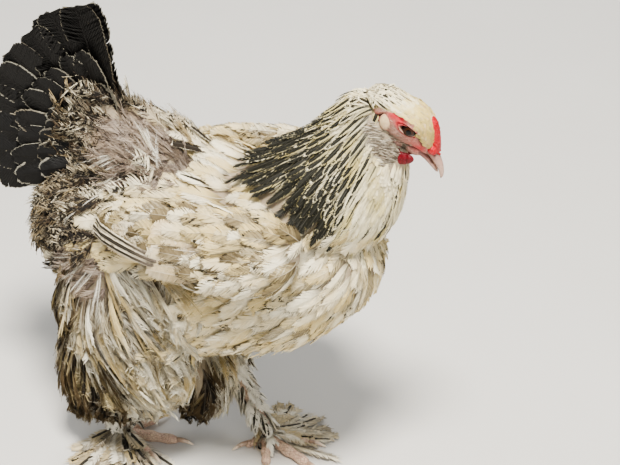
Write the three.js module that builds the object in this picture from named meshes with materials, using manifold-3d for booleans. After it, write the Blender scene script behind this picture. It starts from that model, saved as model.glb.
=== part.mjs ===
// A Brahma hen at life size, standing in mid-stride with her neck stretched forward and her head lowered.
// Millimetres, +Z up, +X the way she faces, +Y her left. Her feet stand on Z = 0, and the hen's own frame has its
// origin on the floor under the middle of her trunk; the last lines move the middle of the whole model over it.

import * as THREE from "three";
import { mergeVertices } from "three/addons/utils/BufferGeometryUtils.js";
import Module from "manifold-3d";

const wasm = await Module();
wasm.setup();

// Driving dimensions.
const GAP = 0.3; // clear space kept between neighbouring pieces
const FAR = 200; // start of a ray that looks for the body's surface
const TRUNK_LENGTH = 350; // vent to breast, over the plumage
const TRUNK_HALF_WIDTH = 98;
const TRUNK_HEIGHT = 243; // middle of the trunk above the floor
const HEAD_AT = new THREE.Vector3(176, 2, 412); // middle of the skull
const HEAD_PITCH = 42; // degrees that the bill points below the horizon
const HEAD_YAW = 2; // degrees to her left
const EYE_RADIUS = 7;
const BILL_LENGTH = 33; // forehead edge to tip
const TAIL_ROOT = new THREE.Vector3(-100, 0, 320);
const FEET = [
  {
    tag: "right",
    side: -1,
    ball: [-107, -38],
    hock: [-112, -46, 92],
    heading: 13,
    inner: 46,
    hallux: 122,
    outer: -34,
    plume: [22, 128],
    thigh: [
      [-38, -50, 236, 36, 58, 78],
      [-62, -56, 190, 44, 62, 92],
      [-76, -56, 140, 44, 72, 88],
      [-102, -58, 104, 36, 60, 62],
      [-126, -58, 72, 22, 40, 40],
      [-140, -58, 46, 9, 16, 20],
    ],
    tuft: [
      [-118, -50, 100, 14, 16, 20],
      [-128, -52, 76, 15, 18, 24],
      [-140, -52, 52, 12, 15, 18],
      [-150, -52, 36, 6, 8, 10],
    ],
  },
  {
    tag: "left",
    side: 1,
    ball: [32, 15],
    hock: [-8, 30, 86],
    heading: -19,
    inner: -46,
    hallux: -113,
    outer: 34,
    plume: [4, 104],
    thigh: [
      [8, 50, 236, 36, 58, 74],
      [4, 53, 190, 43, 56, 78],
      [-4, 48, 144, 37, 42, 62],
      [-12, 39, 108, 24, 24, 40],
      [-15, 34, 84, 12, 13, 20],
    ],
    tuft: [
      [-16, 32, 108, 14, 18, 22],
      [-26, 20, 76, 16, 23, 27],
      [-34, 9, 46, 15, 23, 27],
      [-38, 0, 20, 8, 12, 14],
    ],
  },
];

const UP = new THREE.Vector3(0, 0, 1);
const LEFT = new THREE.Vector3(0, 1, 0);
const radians = THREE.MathUtils.degToRad;
const vector = (x, y, z) => new THREE.Vector3(x, y, z);

// Solids from three.js geometry.

// The closed solid of a geometry, its faces turned outwards, with its surface moved out by grow.
function solidOf(geometry, grow = 0) {
  const bare = geometry.clone();
  for (const name of Object.keys(bare.attributes)) {
    if (name !== "position") bare.deleteAttribute(name);
  }
  const merged = mergeVertices(bare, 1e-3);
  const corners = merged.index.array;
  const kept = [];
  for (let i = 0; i < corners.length; i += 3) {
    const [a, b, c] = [corners[i], corners[i + 1], corners[i + 2]];
    if (a !== b && b !== c && a !== c) kept.push(a, b, c);
  }
  merged.setIndex(kept);
  const build = (order) => {
    const triVerts = new Uint32Array(order);
    const vertProperties = new Float32Array(merged.attributes.position.array);
    return new wasm.Manifold(new wasm.Mesh({ numProp: 3, vertProperties, triVerts }));
  };
  if (build(kept).volume() < 0) {
    for (let i = 0; i < kept.length; i += 3) [kept[i + 1], kept[i + 2]] = [kept[i + 2], kept[i + 1]];
    merged.setIndex(kept);
  }
  if (grow) {
    merged.computeVertexNormals();
    const { position, normal } = merged.attributes;
    for (let i = 0; i < position.count; i++) {
      position.setXYZ(
        i,
        position.getX(i) + normal.getX(i) * grow,
        position.getY(i) + normal.getY(i) * grow,
        position.getZ(i) + normal.getZ(i) * grow,
      );
    }
  }
  return build(kept);
}

// The biggest closed piece of a solid: a cut can leave scraps.
function largest(solid) {
  return solid.decompose().reduce((best, piece) => (piece.volume() > best.volume() ? piece : best));
}

const joined = (geometries) => largest(wasm.Manifold.union(geometries.map((g) => solidOf(g))));
const cleared = (solid, neighbours, gap = GAP) =>
  largest(neighbours.flat().reduce((rest, g) => rest.subtract(solidOf(g, gap)), solid));

// Moves every vertex of a geometry.
function warped(geometry, place) {
  const { position } = geometry.attributes;
  for (let i = 0; i < position.count; i++) {
    const moved = place(vector(position.getX(i), position.getY(i), position.getZ(i)));
    position.setXYZ(i, moved.x, moved.y, moved.z);
  }
  return geometry;
}

// Directions at a point of a spine: along it, to its left and over it.
function frameAt(spine, t, across) {
  const ahead = spine.getTangent(t);
  const left = across.clone().addScaledVector(ahead, -across.dot(ahead)).normalize();
  return { ahead, left, over: ahead.clone().cross(left) };
}

// Half size of a rounded end: none at the pole and full from the share blunt inwards.
function roundedEnd(t, blunt) {
  const near = Math.min(t, 1 - t) / blunt;
  return near < 1 ? Math.sqrt(1 - (1 - near) ** 2) : 1;
}

// A rounded form along a bent spine. A station is [x, y, z, side, up, down]: a point of the spine and the half
// sizes there. Nothing of it lies below floor.
function loft(stations, { around = 20, along = 16, across = LEFT, blunt = 0.14, square = 2, floor = -1e3 } = {}) {
  const spine = new THREE.CatmullRomCurve3(stations.map((s) => vector(s[0], s[1], s[2])));
  const sizes = new THREE.CatmullRomCurve3(stations.map((s) => vector(s[3], s[4], s[5])));
  const round = (c) => Math.sign(c) * Math.abs(c) ** (2 / square);
  return warped(new THREE.SphereGeometry(1, around, along), (p) => {
    const t = Math.acos(THREE.MathUtils.clamp(p.y, -1, 1)) / Math.PI;
    const ring = Math.atan2(p.z, p.x);
    const { left, over } = frameAt(spine, t, across);
    const size = sizes.getPoint(t).multiplyScalar(Math.hypot(p.x, p.z) < 1e-4 ? 0 : roundedEnd(t, blunt));
    const rise = round(Math.sin(ring));
    const moved = spine
      .getPoint(t)
      .addScaledVector(left, round(Math.cos(ring)) * size.x)
      .addScaledVector(over, rise * (rise > 0 ? size.y : size.z));
    moved.z = Math.max(moved.z, floor);
    return moved;
  });
}

// A feather: a thin closed blade. Its rows run from root to tip, each [t, half width]. place(t, u, w, h) puts a
// corner: u is -1 on one edge and 1 on the other, w the row's half width, and h the height of the face. Both faces
// are split along the same diagonals, so that a curved blade never passes through itself.
function vane(rows, thick, place) {
  const corners = rows.flatMap(([t, w]) => [-1, 1].flatMap((u) => [place(t, u, w, thick), place(t, u, w, 0)]));
  const faces = [];
  const quad = (a, b, c, d) => faces.push(a, b, c, a, c, d);
  const last = 4 * (rows.length - 1);
  for (let i = 0; i < last; i += 4) {
    quad(i, i + 4, i + 6, i + 2);
    faces.push(i + 1, i + 7, i + 5, i + 1, i + 3, i + 7);
    quad(i, i + 1, i + 5, i + 4);
    quad(i + 2, i + 6, i + 7, i + 3);
  }
  quad(0, 2, 3, 1);
  quad(last, last + 1, last + 3, last + 2);
  const geometry = new THREE.BufferGeometry();
  geometry.setAttribute("position", new THREE.Float32BufferAttribute(corners.flatMap((c) => c.toArray()), 3));
  geometry.setIndex(faces);
  return geometry;
}

// Outlines of feathers: each row's place along the length and its share of the half width.
const LANCE = [[0, 0.15], [0.14, 0.35], [0.5, 1], [1, 0.1]];
const PADDLE = [[0, 0.15], [0.14, 0.35], [0.6, 1], [1, 0.45]];
const FAN = [[0, 0.15], [0.16, 0.4], [0.6, 1], [0.94, 0.8], [1, 0.35]];
const outline = (shape, halfWidth) => shape.map(([t, share]) => [t, share * halfWidth]);

// Height of a feather over what it lies on: its root is sunk, and it rises from low to high over its first half.
const ROOT_SINK = 5;
const rising = (t) => THREE.MathUtils.clamp((t - 0.14) / 0.36, 0, 1);
const liftAt = (t, [low, high]) => (t < 0.1 ? -ROOT_SINK : low + (high - low) * rising(t));

// How far out of a point the outermost of some surfaces lies in a direction: -FAR where there is none.
function surfaceOf(geometries) {
  const material = new THREE.MeshBasicMaterial({ side: THREE.DoubleSide });
  const meshes = geometries.map((g) => new THREE.Mesh(g, material));
  const ray = new THREE.Raycaster();
  return (point, outward) => {
    ray.set(point.clone().addScaledVector(outward, FAR), outward.clone().negate());
    const [hit] = ray.intersectObjects(meshes);
    return hit ? FAR - hit.distance : -FAR;
  };
}

// The head's own frame: +X to the bill, +Y to her left, +Z to the crown.
const HEAD_TURN = new THREE.Matrix4().makeRotationFromEuler(
  new THREE.Euler(0, radians(HEAD_PITCH), radians(HEAD_YAW), "ZYX"),
);
const HEAD_PLACE = HEAD_TURN.clone().setPosition(HEAD_AT);
const onHead = (geometry) => geometry.applyMatrix4(HEAD_PLACE);

// Trunk, with the cushion of the saddle in front of the tail.
const trunk = [
  loft(
    [
      [-194, 0, 222, 22, 24, 34],
      [-168, 0, 228, 56, 54, 66],
      [-125, 0, 237, 82, 76, 92],
      [-75, 0, 242, 95, 88, 108],
      [-20, 0, TRUNK_HEIGHT, TRUNK_HALF_WIDTH, 92, 114],
      [35, 0, 245, 96, 88, 102],
      [85, 0, 255, 84, 76, 84],
      [120, 0, 272, 66, 62, 62],
      [TRUNK_LENGTH - 206, 0, 292, 37, 36, 38],
    ],
    { around: 22, along: 16, square: 2.15 },
  ),
  loft(
    [
      [-148, 0, 312, 24, 36, 40],
      [-124, 0, 314, 46, 50, 50],
      [-94, 0, 310, 56, 54, 48],
      [-58, 0, 304, 62, 46, 40],
      [-16, 0, 296, 54, 34, 30],
    ],
    { around: 14, along: 8 },
  ),
];

// Neck under its cape of hackle, from the shoulders to the back of the skull.
const neck = loft(
  [
    [38, 0, 274, 80, 62, 30],
    [74, 0, 308, 76, 52, 60],
    [108, 0, 345, 64, 46, 76],
    [134, 1, 376, 47, 41, 59],
    [153, 2, 400, 33, 33, 41],
    [164, 2, 412, 22, 23, 25],
  ],
  { around: 16, along: 9 },
);

// Hackle: tiers of tapered vanes laid down the neck, each tier over the roots of the next one. A tier is given by
// the distance of its roots from the back of the skull, its length, the number of vanes and their half width.
const CAPE_SPINE = new THREE.CatmullRomCurve3(
  [
    [168, 2, 416],
    [153, 2, 400],
    [134, 1, 376],
    [108, 0, 345],
    [74, 0, 308],
    [38, 0, 274],
    [0, 0, 250],
    [-40, 0, 238],
  ].map((p) => vector(...p)),
);
const CAPE_EDGE = 44; // degrees that the cape leaves bare on each side of the middle of the throat
const CAPE = [
  { root: 66, length: 62, count: 13, halfWidth: 14 },
  { root: 38, length: 56, count: 11, halfWidth: 12.5 },
  { root: 12, length: 46, count: 8, halfWidth: 10.5 },
];
const CAPE_LIFT = [1.2, 4.2]; // height of the vanes over the neck
const CAPE_TILT = 0.9; // one edge of a vane is this much higher than its middle, and the other lower

function hackle(tier, index, surface) {
  const length = CAPE_SPINE.getLength();
  const ring = radians(90 + CAPE_EDGE + ((360 - 2 * CAPE_EDGE) * index) / (tier.count - 1));
  const outwardAt = (share, angle) => {
    const { left, over } = frameAt(CAPE_SPINE, share, LEFT);
    return left.multiplyScalar(Math.cos(angle)).addScaledVector(over, Math.sin(angle));
  };
  // The mean of a few rays evens out the step from the neck to the wing.
  const reachAt = (share, angle) => {
    const near = [-12, 0, 12].flatMap((turn) => [-0.03, 0, 0.03].map((step) => [share + step, angle + radians(turn)]));
    const reaches = near.map(([s, a]) => surface(CAPE_SPINE.getPoint(s), outwardAt(s, a)));
    return { outward: outwardAt(share, angle), reach: reaches.reduce((sum, r) => sum + r) / near.length };
  };
  return vane(outline(LANCE, tier.halfWidth), 0.7, (t, u, w, h) => {
    const along = (tier.root + t * tier.length * (0.9 + 0.2 * Math.abs(Math.cos(ring)))) / length;
    const share = CAPE_SPINE.getUtoTmapping(along);
    const middle = reachAt(share, ring).reach;
    const { outward, reach } = reachAt(share, ring + (u * w) / middle);
    const height = reach + liftAt(t, CAPE_LIFT) + u * CAPE_TILT + h;
    return CAPE_SPINE.getPoint(share).addScaledVector(outward, height);
  });
}
const capeVanes = () => {
  const surface = surfaceOf([neck, ...trunk, wing(-1), wing(1)]);
  return CAPE.flatMap((tier) => Array.from({ length: tier.count }, (_, i) => hackle(tier, i, surface)));
};

// Head: skull, brow ridge and cheeks are one loft each, joined.
const skull = onHead(
  loft(
    [
      [-36, 0, -2, 13, 12, 16],
      [-20, 0, 1, 19, 17, 24],
      [0, 0, 2, 19, 21, 25],
      [16, 0, 0, 15.5, 20, 19],
      [29, 0, -4, 9, 14, 11],
      [38, 0, -7, 6, 8, 6],
    ],
    { around: 16, along: 12 },
  ),
);
const brow = (side) =>
  onHead(
    loft(
      [
        [-12, side * 15, 12, 3, 4, 3],
        [0, side * 15.5, 14, 4.6, 5, 4],
        [12, side * 14, 13, 4.6, 5, 3.4],
        [25, side * 9, 6, 3.4, 4, 2.6],
        [33, side * 6, 0, 2, 2, 1.6],
      ],
      { around: 7, along: 7 },
    ),
  );
const eye = (side) =>
  onHead(new THREE.SphereGeometry(EYE_RADIUS, 12, 8).translate(8, side * 13.2, 4));
// The rim of the lids: an almond around the eye.
const lids = (side) =>
  onHead(
    warped(new THREE.TorusGeometry(EYE_RADIUS, 1.5, 4, 12), (p) => {
      const pointed = 1 + 0.28 * (Math.abs(p.x) / EYE_RADIUS) ** 4;
      return vector(8.5 + p.x * pointed, side * (17.2 - 0.1 * Math.abs(p.x)) + p.z, 4 + p.y * 0.84 - p.x * 0.12);
    }),
  );
const earTuft = (side) =>
  onHead(new THREE.SphereGeometry(1, 8, 6).scale(8, 3, 5).translate(-17, side * 16.6, 3));
// The corner of the mouth, cut into the cheek behind the bill.
const gape = (side) =>
  onHead(
    loft(
      [
        [12, side * 15, -13, 1.2, 0.5, 0.5],
        [20, side * 12, -12.2, 2.4, 0.9, 0.9],
        [30, side * 8, -11, 3, 0.9, 0.9],
      ],
      { around: 6, along: 5 },
    ),
  );

// Bill.
const upperBill = onHead(
  loft(
    [
      [30, 0, -5, 6.8, 6.5, 5.5],
      [39, 0, -6.5, 5.8, 6, 4],
      [48, 0, -8, 4.4, 5, 3],
      [25 + BILL_LENGTH, 0, -13, 2, 2.2, 2],
      [27 + BILL_LENGTH, 0, -15.5, 0.8, 0.9, 0.9],
    ],
    { around: 12, along: 9 },
  ),
);
const lowerBill = onHead(
  loft(
    [
      [26, 0, -14, 6.4, 2.4, 4],
      [37, 0, -14.5, 5, 2, 3.4],
      [46, 0, -14.5, 3.4, 1.6, 2.4],
      [53, 0, -14.6, 1.4, 1, 1.2],
    ],
    { around: 10, along: 8 },
  ),
);

// Pea comb: a low ridge with three rows of peas along it.
const combRidge = onHead(
  loft(
    [
      [12, 0, 17, 4, 3.4, 3],
      [22, 0, 14, 5.6, 4.6, 4],
      [32, 0, 6, 5.2, 4.6, 4],
      [42, 0, -3, 3, 3.2, 3],
    ],
    { around: 10, along: 8 },
  ),
);
const PEAS = [
  [16, 0, 19.4, 2.6],
  [22.4, 0, 17.4, 3.1],
  [28.6, 0, 12.4, 3.2],
  [34.4, 0, 7.4, 3],
  [39.6, 0, 2.2, 2.5],
  ...[-1, 1].flatMap((side) => [
    [19.4, side * 4.2, 16.6, 2.3],
    [25.2, side * 4.8, 12.4, 2.5],
    [31, side * 4.6, 7.2, 2.5],
    [36.6, side * 3.8, 2, 2.2],
  ]),
];
const peas = PEAS.map(([x, y, z, r]) => onHead(new THREE.SphereGeometry(r, 6, 4).translate(x, y, z)));
const nostril = (side) =>
  onHead(new THREE.SphereGeometry(1, 6, 4).scale(3.2, 1.3, 1).rotateY(0.5).translate(38, side * 5.4, -3.2));
// A wattle is a short lobe with a fold in front of it.
const wattle = (side) => [
  onHead(
    loft(
      [
        [16, side * 8, -16, 2.4, 8, 3],
        [22, side * 9.5, -22, 3, 10, 9],
        [28, side * 9.5, -29, 2.2, 6, 7],
      ],
      { around: 10, along: 7 },
    ),
  ),
  onHead(new THREE.SphereGeometry(1, 7, 5).scale(5, 2.2, 6).translate(31, side * 7.6, -22)),
];
const earlobe = (side) =>
  onHead(new THREE.SphereGeometry(1, 8, 6).scale(6, 2.4, 7).translate(-9, side * 17.6, -8));

// Wing, folded: a core, and over it the tiers of its feathers, which lie along its outer face.
const WING_ACROSS = (side) => vector(0, 1, side * 0.35).normalize();
const wing = (side) =>
  loft(
    [
      [-84, side * 76, 284, 5, 12, 12],
      [-62, side * 83, 288, 8, 24, 20],
      [-20, side * 90, 293, 12, 34, 32],
      [40, side * 91, 297, 15, 35, 36],
      [84, side * 81, 301, 15, 31, 34],
      [110, side * 62, 304, 10, 19, 21],
    ],
    { around: 11, along: 8, square: 2.5, across: WING_ACROSS(side) },
  );
// Its feathers lie on parallel lines, the upper line's overlapping the lower one's. A tier has one feather on each
// of its lines: x of the roots and length on the upper and on the lower line, lines counted from the top, and the
// height of roots and tips over the core.
const WING_LINES = 5;
const WING_TOP = 316; // height of the upper line at x = 40, and of the lower line
const WING_LOW = 271;
const WING_FALL = [8, 1]; // degrees by which the upper and the lower line fall to the rear
const WING_TIERS = [
  { first: 1.8, last: 3.8, root: [-20, -20], length: [80, 76], lift: [-2.4, -2.2], halfWidth: 7.5 },
  { first: 0, last: 4, root: [12, 10], length: [56, 74], lift: [0.9, 1.6], halfWidth: 11.5 },
  { first: 0, last: 4, root: [39, 37], length: [44, 48], lift: [0.9, 4.4], halfWidth: 11.5 },
  { first: 0, last: 4, root: [61, 59], length: [35, 39], lift: [0.9, 4.6], halfWidth: 11.5 },
];
const WING_TILT = 1.2; // the lower edge of a vane is this much higher than its middle
const WING_SPAN = 95; // from the middle plane to the plane that the lines are drawn on
const WING_STEP = 6; // a bigger step inwards than this lies beyond the core

function wingVanes(side) {
  const outward = vector(0, side, 0.35).normalize();
  const surface = surfaceOf([wing(side)]);
  const mix = ([a, b], line) => a + ((b - a) * line) / (WING_LINES - 1);
  return WING_TIERS.flatMap((tier) => {
    const lines = [];
    for (let line = tier.first; line <= tier.last + 1e-6; line++) lines.push(line);
    return lines.map((line) => {
      const fall = radians(mix(WING_FALL, line));
      const back = vector(-Math.cos(fall), 0, -Math.sin(fall));
      const down = vector(Math.sin(fall), 0, -Math.cos(fall));
      const root = mix(tier.root, line);
      const start = vector(root, side * WING_SPAN, mix([WING_TOP, WING_LOW], line) + (root - 40) * Math.tan(fall));
      const last = [-FAR, -FAR];
      return vane(outline(PADDLE, tier.halfWidth), 0.8, (t, u, w, h) => {
        const point = start.clone().addScaledVector(back, t * mix(tier.length, line)).addScaledVector(down, u * w);
        const edge = u > 0 ? 1 : 0;
        const reach = surface(point, outward);
        last[edge] = last[edge] - reach > WING_STEP ? last[edge] : reach;
        return point.addScaledVector(outward, last[edge] + liftAt(t, tier.lift) + u * WING_TILT + h);
      });
    });
  });
}

// Tail: a fan of main feathers on each side of the hen's middle plane, the sides leaning apart like a tent, and two
// tiers of coverts over their roots, on the same lines. Angles are in degrees above the way she faces.
const tailCore = [-1, 1].map((side) =>
  loft(
    [
      [TAIL_ROOT.x + 12, side * 8, TAIL_ROOT.z - 6, 18, 26, 26],
      [TAIL_ROOT.x - 12, side * 10, TAIL_ROOT.z + 7, 16, 38, 38],
      [TAIL_ROOT.x - 40, side * 9, TAIL_ROOT.z + 21, 13, 50, 52],
      [TAIL_ROOT.x - 64, side * 8, TAIL_ROOT.z + 34, 8, 44, 46],
    ],
    { around: 12, along: 8 },
  ),
);
const TAIL_FIRST_ANGLE = 108;
const TAIL_STEP = 15.5;
const TAIL_TIERS = [
  { shape: FAN, last: 6, root: 40, tip: [145, 138], lift: [0, 0], halfWidth: 19.5 },
  { shape: PADDLE, last: 6, root: 26, tip: [100, 110], lift: [2.9, 4], halfWidth: 14 },
  { shape: PADDLE, last: 4, root: 14, tip: [68, 82], lift: [6, 7.6], halfWidth: 12.5 },
];
const TAIL_TILT = 1.4; // the lower edge of a vane is this much further out than its middle

// How far the tent stands out from the middle plane, at a point given from the root of the tail.
function tentAt(point) {
  const angle = THREE.MathUtils.radToDeg(Math.atan2(point.z, point.x));
  const turn = THREE.MathUtils.clamp(((angle < 0 ? angle + 360 : angle) - 100) / 105, -0.1, 1.2);
  return 3 + turn * (10 + 0.16 * point.length());
}
function tailVanes(tier, side) {
  return Array.from({ length: tier.last + 1 }, (_, line) => {
    const angle = radians(TAIL_FIRST_ANGLE + TAIL_STEP * line);
    const tip = tier.tip[0] + ((tier.tip[1] - tier.tip[0]) * line) / tier.last;
    const along = vector(Math.cos(angle), 0, Math.sin(angle));
    const down = vector(-Math.sin(angle), 0, Math.cos(angle));
    return vane(outline(tier.shape, tier.halfWidth), 0.9, (t, u, w, h) => {
      const reach = tier.root + t * (tip - tier.root);
      const point = along.clone().multiplyScalar(reach).addScaledVector(down, u * w);
      const out = tentAt(point) + liftAt(t, tier.lift) + u * TAIL_TILT + h;
      return point.add(TAIL_ROOT).setY(side * out);
    });
  });
}
const tail = [-1, 1].flatMap((side) => TAIL_TIERS.flatMap((tier) => tailVanes(tier, side)));

// Legs and feet. A thigh is the drumstick in its fluff, which hangs behind the hock.
const thigh = (foot) => [loft(foot.thigh, { around: 14, along: 9 }), loft(foot.tuft, { around: 7, along: 5 })];
const shank = (foot) => {
  const [hx, hy, hz] = foot.hock;
  const [bx, by] = foot.ball;
  return loft(
    [
      [hx, hy, hz + 8, 11, 11, 11],
      [hx, hy, hz - 12, 10, 10, 11],
      [(hx + bx) / 2, (hy + by) / 2, hz / 2, 8.5, 8.5, 9],
      [bx, by, 16, 9, 9, 9],
      [bx, by, 5, 8, 8, 8],
    ],
    { around: 8, along: 7, floor: 2 },
  );
};
// Shank feathers: tiers down the leg, all round but for its inner side. A tier is given by the height of its roots
// over the floor.
const SHANK_TIERS = [
  { height: 46, length: 34, count: 4, halfWidth: 7 },
  { height: 68, length: 32, count: 4, halfWidth: 7 },
];
const SHANK_LIFT = [0.9, 4.6];
const SHANK_SPREAD = 105; // degrees to each side of straight outwards
function shankFeathers(foot) {
  const core = surfaceOf([shank(foot)]);
  const axis = new THREE.LineCurve3(vector(...foot.ball, 5), vector(...foot.hock));
  return SHANK_TIERS.flatMap((tier) =>
    Array.from({ length: tier.count }, (_, i) => {
      const turn = radians(SHANK_SPREAD * ((2 * i) / (tier.count - 1) - 1));
      return vane(outline(LANCE, tier.halfWidth), 0.7, (t, u, w, h) => {
        const centre = axis.getPoint((tier.height - t * tier.length) / foot.hock[2]);
        const angle = turn + (u * w) / 12;
        const outward = vector(Math.sin(angle), foot.side * Math.cos(angle), 0);
        const reach = Math.max(core(centre, outward), 7);
        return centre.addScaledVector(outward, reach + liftAt(t, SHANK_LIFT) + u * 0.8 + h);
      });
    }),
  );
}

const TOES = [
  { name: "inner", turn: "inner", length: 44, thick: 5.2 },
  { name: "middle", turn: null, length: 62, thick: 5.8 },
  { name: "outer", turn: "outer", length: 48, thick: 5 },
  { name: "hallux", turn: "hallux", length: 24, thick: 4.4 },
];
const toeDirection = (foot, toe) => {
  const angle = radians(foot.heading + (toe.turn ? foot[toe.turn] : 0));
  return vector(Math.cos(angle), Math.sin(angle), 0);
};
const toe = (foot, { length, thick, ...rest }) => {
  const ahead = toeDirection(foot, rest);
  const across = UP.clone().cross(ahead);
  const at = (share, z, radius) => [
    foot.ball[0] + ahead.x * length * share,
    foot.ball[1] + ahead.y * length * share,
    z,
    radius,
    radius,
    radius,
  ];
  return loft(
    [
      at(-0.05, thick + 3, thick * 1.15),
      at(0.2, thick + 1, thick * 1.06),
      at(0.34, thick + 0.4, thick * 0.88),
      at(0.5, thick, thick * 1.04),
      at(0.64, thick - 0.4, thick * 0.8),
      at(0.8, thick - 0.6, thick * 0.92),
      at(1, thick - 1.6, thick * 0.66),
    ],
    { around: 8, along: 8, across, blunt: 0.16, floor: 0 },
  );
};
const claw = (foot, { length, thick, ...rest }) => {
  const ahead = toeDirection(foot, rest);
  const across = UP.clone().cross(ahead);
  const at = (distance, z, radius) => [
    foot.ball[0] + ahead.x * (length + distance),
    foot.ball[1] + ahead.y * (length + distance),
    z,
    radius,
    radius * 1.1,
    radius,
  ];
  return loft([at(-5, 5, 2.6), at(3, 5.4, 2.4), at(9, 3.6, 1.7), at(14, 1.1, 0.6)], {
    around: 6,
    along: 5,
    across,
    floor: 0,
  });
};
// Foot feathers: two tiers that fan out from the outer side of the foot, the upper one over the roots of the lower.
// first and last are in degrees from the way she faces, towards the foot's outer side.
const footDome = (foot) =>
  loft(
    [
      [foot.ball[0] - 12, foot.ball[1] + foot.side * 6, 8, 9, 7, 7],
      [foot.ball[0] + 2, foot.ball[1] + foot.side * 7, 10, 12, 8, 8],
      [foot.ball[0] + 18, foot.ball[1] + foot.side * 6, 8, 9, 6, 7],
    ],
    { around: 8, along: 5, floor: 1 },
  );
const FOOT_TIERS = [
  { count: 5, root: 12, tip: [76, 60], height: [9, 1.2], halfWidth: 8.5 },
  { count: 3, root: 6, tip: [48, 42], height: [16, 7], halfWidth: 9 },
];
function footFeathers(foot) {
  const [from, to] = foot.plume;
  return FOOT_TIERS.flatMap((tier) =>
    Array.from({ length: tier.count }, (_, i) => {
      const share = i / (tier.count - 1);
      const angle = radians(from + (to - from) * share);
      const along = vector(Math.cos(angle), foot.side * Math.sin(angle), 0);
      const across = vector(-Math.sin(angle), foot.side * Math.cos(angle), 0);
      const tip = tier.tip[0] + (tier.tip[1] - tier.tip[0]) * share;
      return vane(outline(LANCE, tier.halfWidth), 0.8, (t, u, w, h) => {
        const point = vector(foot.ball[0], foot.ball[1], 0)
          .addScaledVector(along, tier.root + t * (tip - tier.root))
          .addScaledVector(across, u * w);
        const height = t < 0.1 ? tier.height[0] - 4 : tier.height[0] + (tier.height[1] - tier.height[0]) * t ** 0.7;
        return point.setZ(Math.max(0.2, height + u * 0.7 + h));
      });
    }),
  );
}

// Materials, from the photo.
const finish = (color, roughness) => new THREE.MeshStandardMaterial({ color, roughness, metalness: 0 });
const CREAM = finish("#e4dcc6", 0.85);
const STRIPED = finish("#6d6a5c", 0.7);
const BLACK = finish("#22221f", 0.45);
const SKIN = finish("#d9b8a0", 0.6);
const RED = finish("#c9323a", 0.5);
const HORN = finish("#c8a79c", 0.4);
const AMBER = finish("#3a2418", 0.1);
const TOE = finish("#d9a79a", 0.55);

// Nodes.
const hen = new THREE.Group();

function addNode(name, solid, material) {
  const { vertProperties, triVerts, numProp } = solid.getMesh();
  const position = new Float32Array((vertProperties.length / numProp) * 3);
  for (let i = 0; i < position.length / 3; i++) {
    position.set(vertProperties.subarray(i * numProp, i * numProp + 3), i * 3);
  }
  const geometry = new THREE.BufferGeometry();
  geometry.setAttribute("position", new THREE.BufferAttribute(position, 3));
  geometry.setIndex(new THREE.BufferAttribute(triVerts, 1));
  geometry.computeVertexNormals();
  const mesh = new THREE.Mesh(geometry, material);
  mesh.name = name;
  hen.add(mesh);
}

const SIDES = [
  ["right", -1],
  ["left", 1],
];
const headPieces = [skull, ...[-1, 1].flatMap((side) => [brow(side), lids(side), earTuft(side)])];
const eyes = [eye(-1), eye(1)];
addNode("torso", joined(trunk), CREAM);
addNode("head", cleared(joined(headPieces), [eyes, gape(-1), gape(1)]), CREAM);
const cape = capeVanes();
const caped = cleared(joined([neck, ...cape]), [trunk, headPieces, earlobe(-1), earlobe(1)]);
addNode("neck", caped, STRIPED);
addNode("beak_upper", cleared(solidOf(upperBill), [skull, nostril(-1), nostril(1)]), HORN);
addNode("beak_lower", cleared(solidOf(lowerBill), [skull, upperBill]), HORN);
addNode("comb", cleared(joined([combRidge, ...peas]), [skull, brow(-1), brow(1), upperBill]), RED);
for (const [tag, side] of SIDES) {
  addNode(`eye_${tag}`, solidOf(eye(side)), AMBER);
  addNode(`wattle_${tag}`, cleared(joined(wattle(side)), [skull, lowerBill, upperBill, neck]), RED);
  addNode(`earlobe_${tag}`, cleared(solidOf(earlobe(side)), [skull, lids(side), earTuft(side)]), SKIN);
  const folded = cleared(joined([wing(side), ...wingVanes(side)]), [trunk]);
  addNode(`wing_${tag}`, largest(cleared(folded, [neck, cape]).subtract(caped)), CREAM);
}
const wings = SIDES.map(([, side]) => wing(side));
addNode("tail", cleared(joined([...tailCore, ...tail]), [trunk]), BLACK);
for (const foot of FEET) {
  const toes = TOES.map((t) => toe(foot, t));
  const footPieces = [...toes, footDome(foot), ...footFeathers(foot)];
  const freeFeathers = thigh(foot).reduce(
    (rest, g) => rest.subtract(solidOf(g, GAP)),
    wasm.Manifold.union(shankFeathers(foot).map((g) => solidOf(g))),
  );
  const leg = largest(solidOf(shank(foot)).add(freeFeathers));
  addNode(`thigh_${foot.tag}`, cleared(joined(thigh(foot)), [trunk, wings, shank(foot)]), CREAM);
  addNode(`foot_${foot.tag}`, joined(footPieces), TOE);
  addNode(`shank_${foot.tag}`, cleared(leg, [footPieces]), CREAM);
  for (const t of TOES) {
    addNode(`claw_${foot.tag}_${t.name}`, cleared(solidOf(claw(foot, t)), footPieces), HORN);
  }
}

// The middle of the whole model stands over the origin.
const box = new THREE.Box3().setFromObject(hen);
const middle = box.getCenter(vector(0, 0, 0));
hen.position.set(-middle.x, -middle.y, -box.min.z);

export default hen;
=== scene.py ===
"""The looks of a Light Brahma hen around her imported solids: one skin, and every feather a mesh over it."""

import math

import bmesh
import bpy
import numpy as np
from bpy.props import FloatProperty, FloatVectorProperty, IntProperty, PointerProperty
from mathutils import Euler, Matrix, Vector
from mathutils.bvhtree import BVHTree


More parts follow.
